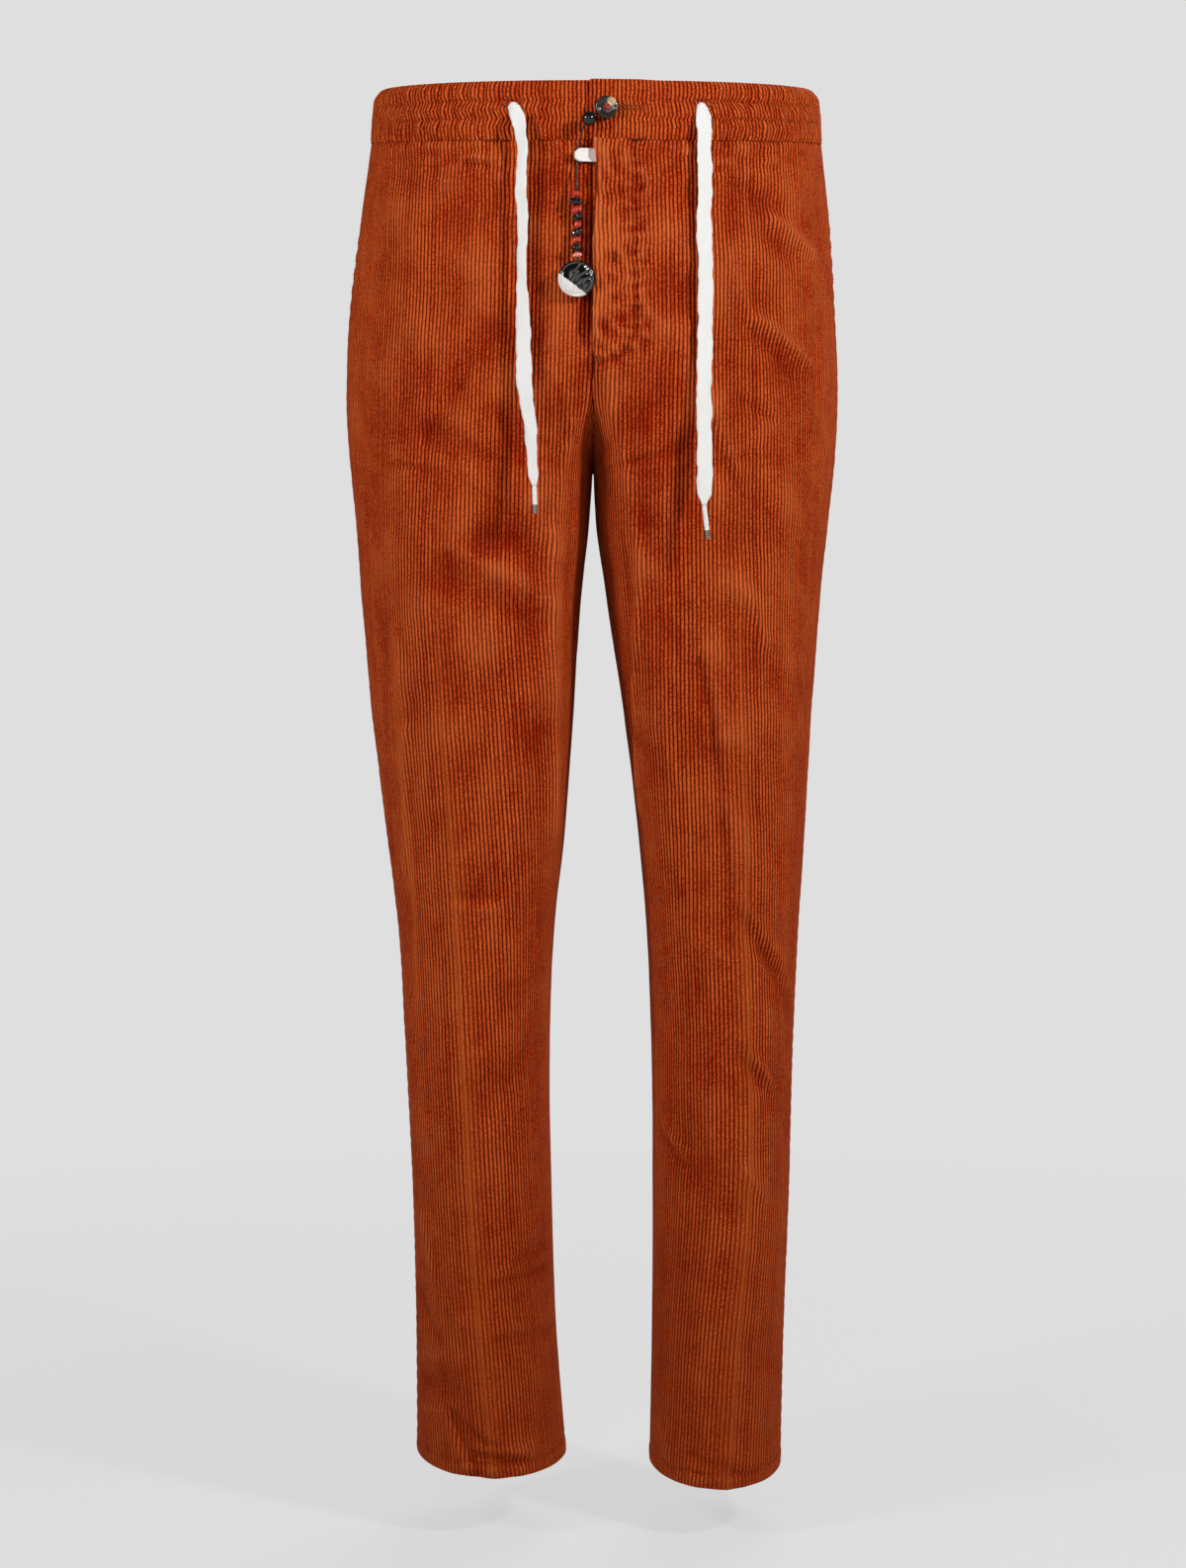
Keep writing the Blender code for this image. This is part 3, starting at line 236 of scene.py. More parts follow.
# The smaller ones, ridges beside troughs, their depth before FOLD_GAIN.
SMALL_FOLDS = {
    RIGHT_FRONT: [
        # The pocket bag's edge, and the cross wrinkles under the band.
        (-16, -172, -10, -190, 4.5, -1.8), (-10, -190, 14, -222, 5.0, -2.0),
        (-20, -166, 2, -208, 6.0, 1.2), (-11, -32, -37, -36, 3.5, 1.8), (-17, -41, -38, -44, 3.5, 1.4),
        (-14, -36, -40, -40, 3.0, -1.2),
        # From the fly and the crotch.
        (-85, -129, -76, -159, 8.0, 2.4), (-73, -176, -87, -196, 4.0, 1.4),
        (-81, -191, -85, -225, 4.0, -1.6), (-62, -196, -70, -250, 6.0, 1.4),
        (-92, -215, -78, -290, 5.0, 1.6), (-84, -240, -66, -330, 6.0, -1.2),
        # Where the thigh bends.
        (-8, -300, -38, -314, 6.0, 2.2), (-38, -314, -81, -339, 7.0, 2.2),
        (-7, -324, -65, -352, 8.0, -1.8), (-55, -296, -65, -314, 8.0, -1.8),
        (-62, -268, -80, -300, 7.0, 1.6), (-30, -288, -52, -296, 6.0, -1.4),
        # Long soft ridges and hollows down the leg.
        (38, -366, 35, -428, 5.0, 2.0), (35, -428, 50, -528, 5.0, 1.8), (57, -359, 81, -516, 7.0, -1.6),
        (-82, -290, -80, -499, 7.0, 2.2),
        # Beside the knee and down the shin.
        (-2, -545, -27, -546, 3.5, -1.6), (-3, -551, -25, -553, 4.0, 1.4), (52, -777, 37, -823, 4.0, 1.8),
        (63, -833, 36, -861, 5.0, -1.6), (-9, -819, -60, -816, 3.5, -2.0), (-9, -814, -65, -810, 3.5, 1.7),
        (-27, -806, -66, -805, 3.5, -1.6), (-11, -858, -75, -862, 4.0, -1.5),
        (-12, -853, -76, -857, 4.0, 1.3),
        # Over the hem.
        (60, -879, 34, -873, 5.0, 1.7), (61, -897, 34, -893, 6.0, -1.6), (62, -917, 32, -913, 5.0, 1.8),
        (28, -907, -1, -931, 3.8, 2.2), (26, -912, -3, -936, 3.5, -2.0), (28, -917, 12, -954, 4.0, -1.8),
        (34, -918, 19, -952, 4.5, 1.5), (9, -936, -23, -940, 3.2, 2.0), (9, -941, -22, -947, 3.2, -1.7),
        (-19, -954, -31, -936, 4.0, 1.8), (22, -956, 1, -960, 4.0, -1.6),
    ],
    LEFT_FRONT: [
        # The pulls across the hip.
        (30, -73, 69, -96, 5.0, 2.6), (25, -85, 45, -99, 6.0, -1.6), (17, -142, 63, -171, 4.5, 2.8),
        (10, -151, 44, -177, 6.0, -1.8), (0, -52, 37, -67, 7.0, -1.6), (-8, -100, 14, -147, 7.0, 1.6),
        (-17, -209, -1, -248, 5.0, 1.8), (-22, -216, -9, -250, 5.0, -1.5), (0, -197, 28, -211, 4.0, -1.6),
        # From the fly and the crotch.
        (-41, -149, -25, -209, 7.0, 1.7), (-80, -169, -67, -216, 7.0, -1.8),
        (-91, -182, -89, -222, 6.0, 1.8), (-68, -129, -53, -162, 6.0, 1.6),
        (-58, -215, -50, -290, 7.0, 1.4), (-86, -205, -70, -300, 5.0, 1.6),
        (-76, -240, -60, -330, 6.0, -1.3), (-46, -250, -36, -330, 6.0, 1.2),
        # Long ridges and hollows down the leg.
        (-67, -304, -93, -485, 4.0, 2.0), (-80, -304, -92, -420, 6.0, -1.8),
        (-30, -365, -18, -427, 5.0, -1.8), (-18, -427, -10, -539, 5.0, -1.8),
        (-23, -372, -11, -431, 4.5, 1.8), (-11, -431, -6, -525, 4.5, 1.6), (7, -331, 21, -365, 5.0, 1.8),
        # Beside and below the knee.
        (-2, -548, 59, -618, 5.0, 1.1), (-6, -553, 38, -618, 5.0, -0.9), (9, -589, 29, -610, 3.5, 1.1),
        (15, -582, 38, -606, 3.5, -1.1), (-3, -646, 35, -696, 4.5, 1.0), (-8, -650, 25, -697, 4.5, -0.8),
        (0, -665, 12, -680, 4.0, -1.1), (6, -660, 23, -679, 4.0, 1.5), (-81, -719, -45, -739, 4.0, -1.8),
        (-70, -715, -42, -733, 4.0, 1.6), (-2, -740, 16, -761, 4.0, 1.6), (-26, -946, 8, -956, 4.0, -1.4),
        (-60, -930, -48, -950, 5.0, 1.6),
    ],
    # The seat, the backs of the knees and the calves.
    RIGHT_BACK: [
        (-75, -160, -30, -196, 7.0, -1.8), (-92, -236, -46, -262, 5.5, 2.0),
        (-80, -276, -30, -296, 6.0, 1.8), (-50, -560, 46, -588, 6.0, 2.0),
        (-44, -570, 30, -598, 5.5, -1.8), (-36, -648, 50, -664, 6.0, -1.8), (4, -360, 12, -500, 9.0, 1.6),
        (-40, -760, 20, -785, 6.0, -1.6), (10, -905, 40, -935, 4.5, 1.8),
    ],
    LEFT_BACK: [
        (-80, -168, -34, -200, 7.0, -1.8), (-94, -240, -50, -268, 5.5, 2.0),
        (-82, -280, -34, -300, 6.0, 1.8), (-50, -572, 48, -602, 6.0, 2.0),
        (-42, -584, 34, -612, 5.5, -1.8), (-40, -676, 40, -690, 6.0, -1.8), (-10, -370, 4, -520, 9.0, 1.6),
        (-32, -780, 30, -800, 6.0, -1.6), (-36, -900, -8, -930, 4.5, 1.8),
    ],
}

# Heights of the fly's free edge and how far it lies to the left of the centre plane.
FLY_EDGE = [
    (-0.0205, 0.0000),
    (-0.0350, 0.0021),
    (-0.0650, 0.0021),
    (-0.1000, -0.0010),
    (-0.1350, -0.0026),
    (-0.1540, -0.0008),
    (-0.1680, 0.0006),
    (-0.1850, SEAM / 2),
]

# ---------------------------------------------------------------- small helpers


def smooth(value: Any, start: float, end: float) -> Any:
    """0 at start and before, 1 at end and after, easing between them."""
    t = np.clip((np.asarray(value, float) - start) / (end - start), 0, 1)
    return t * t * (3 - 2 * t)


def bell(away: Any, reach: float) -> Any:
    """1 at a distance of 0, falling as a bell curve does."""
    return np.exp(-((away / reach) ** 2))


def eased(xs: Sequence[float], ys: Sequence[float], x: Any) -> Any:
    """A smooth curve through the points (xs, ys), with xs rising, held flat beyond the ends."""
    xs, ys = np.asarray(xs, float), np.asarray(ys, float)
    slopes = np.gradient(ys, xs)
    k = np.clip(np.searchsorted(xs, x) - 1, 0, len(xs) - 2)
    step = xs[k + 1] - xs[k]
    t = np.clip((x - xs[k]) / step, 0, 1)
    return (
        (2 * t**3 - 3 * t**2 + 1) * ys[k]
        + (t**3 - 2 * t**2 + t) * step * slopes[k]
        + (3 * t**2 - 2 * t**3) * ys[k + 1]
        + (t**3 - t**2) * step * slopes[k + 1]
    )


def passed_along(points: Array) -> Array:
    """How far along a line of points each one is."""
    steps = np.linalg.norm(np.diff(points, axis=0), axis=1)
    return np.concatenate([[0], np.cumsum(steps)])


def row_at(at: float, passed: Array, rows: Array) -> Array:
    """The row at that distance along, between its two neighbours."""
    return np.array([np.interp(at, passed, column) for column in rows.T])


def unit(rows: Array) -> Array:
    """The same directions, each with a length of 1."""
    return rows / np.linalg.norm(rows, axis=-1, keepdims=True)


def full_turn(count: int) -> Array:
    """That many angles, evenly round a full turn."""
    return np.linspace(0, 2 * math.pi, count, endpoint=False)


def linear(code: str) -> tuple[float, float, float, float]:
    """A colour for a socket, from its sRGB hex value."""
    values = (int(code[k : k + 2], 16) / 255 for k in (1, 3, 5))
    red, green, blue = (v / 12.92 if v <= 0.04045 else ((v + 0.055) / 1.055) ** 2.4 for v in values)
    return red, green, blue, 1.0


def add_node(tree: bpy.types.NodeTree, kind: str, inputs: dict | None = None, **settings: Any) -> Any:
    """Adds a node to a material.

    Args:
        tree: the material's node tree.
        kind: the node's Blender type, without its leading words.
        inputs: sockets by name or number, each with a value or with the output that feeds it.
        settings: the node's own properties.

    Returns:
        The node.
    """
    node = tree.nodes.new("ShaderNode" + kind)
    for name, value in settings.items():
        setattr(node, name, value)
    for key, value in (inputs or {}).items():
        if isinstance(value, bpy.types.NodeSocket):
            tree.links.new(value, node.inputs[key])
        else:
            node.inputs[key].default_value = value
    return node


class Graph:
    """A new material with its Principled shader, and short names for the nodes it is made of."""

    def __init__(self, name: str) -> None:
        """Makes the material."""
        self.made = bpy.data.materials.new(name)
        self.made.use_nodes = True
        self.tree = self.made.node_tree
        self.shader = self.tree.nodes["Principled BSDF"]
        self.place = self.add("TexCoord").outputs["Object"]

    def add(self, kind: str, inputs: dict | None = None, **settings: Any) -> Any:
        """Adds a node of any kind."""
        return add_node(self.tree, kind, inputs, **settings)

    def read(self, name: str) -> Any:
        """The mesh's attribute of that name."""
        return self.add("Attribute", attribute_name=name).outputs["Fac"]

    def math(self, operation: str, *values: Any, clamp: bool = False) -> Any:
        """A sum of one kind or another."""
        return self.add("Math", dict(enumerate(values)), operation=operation, use_clamp=clamp).outputs[0]

    def noise(self, scale: float, detail: float, vector: Any = None) -> Any:
        """Noise, by the object's own place unless another vector is given."""
        inputs = {"Vector": self.place if vector is None else vector, "Scale": scale, "Detail": detail}
        return self.add("TexNoise", inputs).outputs["Fac"]

    def ramp(self, value: Any, *ends: float, kind: str = "LINEAR") -> Any:
        """The value from its first two ends to the last two, or to 0 and 1, and held beyond them."""
        inputs = {0: value, **dict(enumerate(ends, 1))}
        return self.add("MapRange", inputs, interpolation_type=kind, clamp=True).outputs[0]

    def mix(self, share: Any, first: Any, second: Any) -> Any:
        """The colour between two others, each an output or a hex value."""
        first, second = (linear(c) if isinstance(c, str) else c for c in (first, second))
        return self.add("Mix", {0: share, 6: first, 7: second}, data_type="RGBA").outputs[2]

    def weave(self, value: Any, pitch: float) -> Any:
        """Waves that far apart along a distance."""
        return self.math("SINE", self.math("MULTIPLY", value, 2 * math.pi / pitch))

    def bands(self, twist: float, distortion: float) -> Any:
        """Slanting bands, as of twisted strands."""
        inputs = {"Vector": self.place, "Scale": 1 / twist / 6, "Distortion": distortion, "Detail": 1.0}
        return self.add("TexWave", inputs, wave_type="BANDS", bands_direction="DIAGONAL").outputs["Fac"]

    def bump(self, height: Any, strength: float, distance: float) -> None:
        """Raises the surface by a height."""
        made = self.add("Bump", {"Height": height, "Strength": strength, "Distance": distance})
        self.tree.links.new(made.outputs[0], self.shader.inputs["Normal"])

    def finish(self, colour: Any, **values: Any) -> bpy.types.Material:
        """Sets the colour and the shader's constants; an underscore stands for a space."""
        self.tree.links.new(colour, self.shader.inputs["Base Color"])
        for name, value in values.items():
            socket = name.replace("_", " ").title().replace("Ior", "IOR")
            self.shader.inputs[socket].default_value = value
        return self.made


# ---------------------------------------------------------------- finishes


@dataclass(frozen=True)
class Corduroy:
    """Cotton corduroy of nine wales to the inch, cut pile, brushed and piece-dyed burnt orange.

    The cut pile stands up in round ribs. It drinks the light in the grooves and throws it back at
    a glancing angle, so the ribs' crowns and the cloth's edges look paler than its face. Where it
    is pressed, the pile lies over, and is smoother and browner. The colour also holds painted
    light: painted shade in the grooves, a partly painted highlight on the crowns, painted light and
    shade on the folds, painted shade towards the hems and a partly painted sheen where pressed.
    """

    name: str = "cotton_corduroy_pile"
    # The groove's dark colour is painted shade and the crown's pale one partly a painted highlight; the
    # groove's colour also paints shade in the folds' hollows.
    crown: str = "#DC642A"
    flank: str = "#A42204"
    groove: str = "#5A0C00"
    # Pressed pile: smoother and browner; its paler brown is partly a painted sheen.
    pressed: str = "#B4551F"
    # painted highlight on the folds' crests
    crest_highlight: str = "#DE7644"
    painted_low_shade: str = "#7E2C0C"  # painted shade: darker and browner towards the hems, where the lamps' light falls off
    sheen: str = "#FF8A50"
    tuft: float = 0.0017  # length of one tuft along a wale
    grain: float = 0.00055  # between the threads of the pile
    wander: float = 0.0007  # how far a wale strays from its course

    def material(self) -> bpy.types.Material:
        """Builds the material; it reads the cloth's attributes across and press, and the one that paints
        light and shade on the folds.
        """
        g = Graph(self.name)
        down = g.add("SeparateXYZ", {0: g.place}).outputs["Z"]
        across, press, worn = (g.read(name) for name in ("across", "press", "worn"))
        # The wales: round ribs whose width and course are a little uneven.
        course = g.math("MULTIPLY_ADD", g.noise(70.0, 2.0), self.wander, across)
        wave = g.math("SINE", g.math("MULTIPLY", course, math.pi / WALE))
        wale = g.math("MULTIPLY", wave, wave)
        number = g.math("FLOOR", g.math("DIVIDE", course, WALE))
        tone = g.add("TexWhiteNoise", {"W": number}, noise_dimensions="1D").outputs["Value"]
        # The tufts: short beads along each wale, brighter and darker as they lean.
        beads = {0: g.math("DIVIDE", across, 0.55 * WALE), 1: 0.0, 2: g.math("DIVIDE", down, self.tuft)}
        tufts = g.noise(1.0, 2.0, g.add("CombineXYZ", beads).outputs[0])
        threads = g.noise(0.5 / self.grain, 2.0)
        clouds, patches = g.noise(17.0, 4.0), g.noise(75.0, 3.0)
        # The folds' painted light also lifts the crowns' colour on their crests and lowers it in their
        # hollows.
        level = g.math("MULTIPLY_ADD", worn, 0.6, 0.55)
        for source, reach in ((tufts, 2.2), (threads, 2.4), (clouds, 0.8), (patches, 0.8), (tone, 0.30)):
            level = g.math("ADD", level, g.math("MULTIPLY", g.math("SUBTRACT", source, 0.5), reach))
        crowns = g.mix(g.math("ADD", level, 0.0, clamp=True), self.flank, self.crown)
        # From the dark floor of the groove, painted shade, up the flank to the crown, partly a painted
        # highlight.
        pile = g.mix(g.ramp(wale, 0.0, 0.66, kind="SMOOTHSTEP"), self.groove, crowns)
        # Where the pile is pressed: flatter ribs, and a colour that is partly a painted sheen.
        flat = g.math("MULTIPLY", press, g.math("MULTIPLY_ADD", threads, 0.5, 0.55), clamp=True)
        colour = g.mix(flat, pile, self.pressed)
        # Painted light on the folds: a painted highlight on their crests, and painted shade, the groove's
        # colour, in their hollows.
        colour = g.mix(g.math("MULTIPLY", worn, 0.34, clamp=True), colour, self.crest_highlight)
        colour = g.mix(g.math("MULTIPLY", worn, -0.45, clamp=True), colour, self.groove)
        # Painted shade: darker and browner towards the hems, for the lamps' falloff.
        colour = g.mix(g.ramp(down, -0.60, -0.95, 0.0, 0.42, kind="SMOOTHSTEP"), colour, self.painted_low_shade)
        standing = g.math("MULTIPLY_ADD", press, -0.8, 1.0)
        rib = g.math("MULTIPLY", g.math("POWER", wale, 0.7), standing)
        rough = g.math("MULTIPLY", g.math("ADD", tufts, threads), 0.45)
        g.bump(g.math("ADD", rib, rough), 1.0, PILE)
        sheen = {"sheen_weight": 0.12, "sheen_roughness": 0.40, "sheen_tint": linear(self.sheen)}
        return g.finish(colour, roughness=0.90, specular_ior_level=0.04, **sheen)


@dataclass(frozen=True)
class ClothBack:
    """The woven back of the corduroy: a plain cotton ground, dull, with the weft's ribs showing."""

    name: str = "cotton_corduroy_back"
    thread: str = "#8F3A17"
    gap: str = "#5C1D08"
    pitch: float = 0.0011  # the ground's threads are 0.5 mm apart, drawn coarser so that they show

    def material(self) -> bpy.types.Material:
        """Builds the material, a fine check of warp over weft."""
        g = Graph(self.name)
        down = g.add("SeparateXYZ", {0: g.place}).outputs["Z"]
        check = g.math("MULTIPLY", g.weave(g.read("across"), self.pitch), g.weave(down, self.pitch))
        cover = g.ramp(check, -0.8, 0.5)
        ground = g.mix(g.math("MULTIPLY", cover, g.noise(60.0, 4.0)), self.gap, self.thread)
        g.bump(cover, 0.4, 0.0002)
        return g.finish(ground, roughness=0.95, specular_ior_level=0.2, sheen_weight=0.1, sheen_roughness=0.5)


@dataclass(frozen=True)
class Thread:
    """Spun polyester sewing thread: two twisted plies with a slight gloss."""

    name: str
    colour: str
    shade: str
    twist: float = 0.0009  # length of one turn of the plies, drawn coarse enough to show

    def material(self) -> bpy.types.Material:
        """Builds the material, with the twist as slanting bands."""
        g = Graph(self.name)
        bands = g.bands(self.twist, 1.2)
        g.bump(bands, 0.5, 0.0001)
        return g.finish(g.mix(bands, self.shade, self.colour), roughness=0.70, specular_ior_level=0.15)


@dataclass(frozen=True)
class CottonTape:
    """Bleached cotton herringbone tape: matt white, its twill in narrow zig-zag columns."""

    name: str = "bleached_cotton_tape"
    thread: str = "#F4F3F0"
    gap: str = "#CFCCC6"
    pitch: float = 0.0009  # threads of 0.4 mm, drawn coarser so that they show
    column: float = 0.0026  # the width of one run of the twill

    def material(self) -> bpy.types.Material:
        """Builds the material; it reads the attributes across and down of the tape."""
        g = Graph(self.name)
        slant = g.math("ADD", g.math("PINGPONG", g.read("across"), self.column), g.read("down"))
        level = g.ramp(g.weave(slant, self.pitch), -1.0, 0.4)
        g.bump(g.math("ADD", level, g.noise(900.0, 3.0)), 0.35, 0.0002)
        colour = g.mix(level, self.gap, self.thread)
        sheen = {"sheen_weight": 0.25, "sheen_roughness": 0.5}
        return g.finish(colour, roughness=0.88, specular_ior_level=0.25, **sheen)


@dataclass(frozen=True)
class TinnedTip:
    """Rolled tinned steel, crimped round the drawstring's end: bright, with dark crimp lines."""

    name: str = "tinned_steel_tip"
    metal: str = "#C9C7C2"
    tarnish: str = "#55524D"
    crimp: float = CRIMP

    def material(self) -> bpy.types.Material:
        """Builds the material, with dark rings of painted shade in the crimps."""
        g = Graph(self.name)
        # Painted shade: dark rings in the crimps.
        level = g.ramp(g.weave(g.read("down"), self.crimp), -0.2, 0.7)
        return g.finish(g.mix(level, self.tarnish, self.metal), metallic=1.0, roughness=0.28)


@dataclass(frozen=True)
class Horn:
    """Buffalo horn, turned and polished: near black, with a streak of cream through it."""

    name: str = "polished_buffalo_horn"
    dark: str = "#120C09"
    brown: str = "#2E2018"
    cream: str = "#D9B48A"

    def material(self) -> bpy.types.Material:
        """Builds the material: drawn-out layers of horn, one of them pale."""
        g = Graph(self.name)
        drawn = {"Vector": g.place, "Rotation": (0.0, 0.7, 0.0), "Scale": (260.0, 400.0, 90.0)}
        layers = g.noise(1.0, 4.0, g.add("Mapping", drawn).outputs[0])
        patch = g.ramp(g.math("MULTIPLY", g.read("pale"), layers), 0.15, 0.32)
        colour = g.mix(patch, g.mix(layers, self.dark, self.brown), self.cream)
        return g.finish(colour, roughness=0.22, ior=1.54, coat_weight=0.3, coat_roughness=0.12)


@dataclass(frozen=True)
class Stone:
    """Tumbled and polished stone or coral: a deep gloss over a faintly clouded body."""

    name: str
    body: str
    cloud: str
    roughness: float = 0.10
    see_in: float = 0.0  # how much light goes in below the surface
    grain: float = 0.003

    def material(self) -> bpy.types.Material:
        """Builds the material: clouds in the body and fine pits from the tumbling."""
        g = Graph(self.name)
        colour = g.mix(g.noise(1 / self.grain, 4.0), self.body, self.cloud)
        g.bump(g.noise(700.0, 2.0), 0.30, 0.0001)
        inside = {"subsurface_weight": self.see_in, "subsurface_radius": (0.004, 0.001, 0.001)}
        return g.finish(colour, roughness=self.roughness, ior=1.55, **inside)


@dataclass(frozen=True)
class PendantStone:
    """The pendant: polished black stone, its cut grooves frosted, one corner dipped in white glaze.

    The white corner's edge is soft and uneven, as a dipped edge is.
    """

    name: str = "carved_black_stone"
    body: str = "#070607"
    frost: str = "#55504C"
    glaze: str = "#E9E6E1"

    def material(self) -> bpy.types.Material:
        """Builds the material; it reads the attributes groove and glaze of the pendant."""
        g = Graph(self.name)
        groove = g.read("groove")
        uneven = g.math("ADD", g.read("glaze"), g.ramp(g.noise(500.0, 3.0), 0.3, 0.7, -0.12, 0.12))
        colour = g.mix(g.ramp(uneven, 0.46, 0.54), g.mix(groove, self.body, self.frost), self.glaze)
        g.tree.links.new(g.ramp(groove, 0.0, 1.0, 0.08, 0.30), g.shader.inputs["Roughness"])
        return g.finish(colour, ior=1.55)


@dataclass(frozen=True)
class WaxedCord:
    """Twisted cotton cord, dyed black and waxed: dark, with a dull shine on each strand."""

    name: str = "waxed_cotton_cord"
    strand: str = "#1A191B"
    gap: str = "#050505"
    twist: float = 0.0011

    def material(self) -> bpy.types.Material:
        """Builds the material, with the strands as slanting bands."""
        g = Graph(self.name)
        bands = g.bands(self.twist, 0.6)
        g.bump(bands, 0.6, 0.0002)
        return g.finish(g.mix(bands, self.gap, self.strand), roughness=0.42, specular_ior_level=0.5)


class Finishes:
    """Every material of the trousers, made once."""

    def __init__(self) -> None:
        """Builds them all."""
        self.pile = Corduroy().material()
        self.back = ClothBack().material()
        self.thread = Thread("rust_polyester_thread", "#B24A18", "#6E2206").material()
        self.button_thread = Thread("orange_polyester_thread", "#D2401C", "#7E1B08").material()
        self.tape = CottonTape().material()
        self.tip = TinnedTip().material()
        self.horn = Horn().material()
        self.onyx = Stone("polished_black_onyx", "#060506", "#17131A", 0.07).material()
        self.coral = Stone("polished_red_coral", "#A3120C", "#CC3A22", 0.16, 0.15).material()
        self.pale_coral = Stone("polished_pale_coral", "#C4604C", "#DA8E78", 0.20, 0.2).material()
        self.pendant = PendantStone().material()
        self.cord = WaxedCord().material()


# ---------------------------------------------------------------- the form of the cloth


@dataclass
class Arc:
    """One half's front or back outline at one height, measured along the cloth from the centre."""

    x: Array
    y: Array
    along: Array
    crease: float

    @property
    def length(self) -> float:
        """The whole outline's length."""
        return float(self.along[-1])

    def at(self, along: Array) -> Array:
        """The points that far along, from the inner edge, as rows of x and y."""
        return np.stack([np.interp(along, self.along, self.x), np.interp(along, self.along, self.y)], -1)

    def heading(self, along: Array) -> Array:
        """The outline's direction there."""
        step = 0.0015
        middle = np.clip(along, step, self.length - step)
        run = self.at(middle + step) - self.at(middle - step)
        return unit(run)


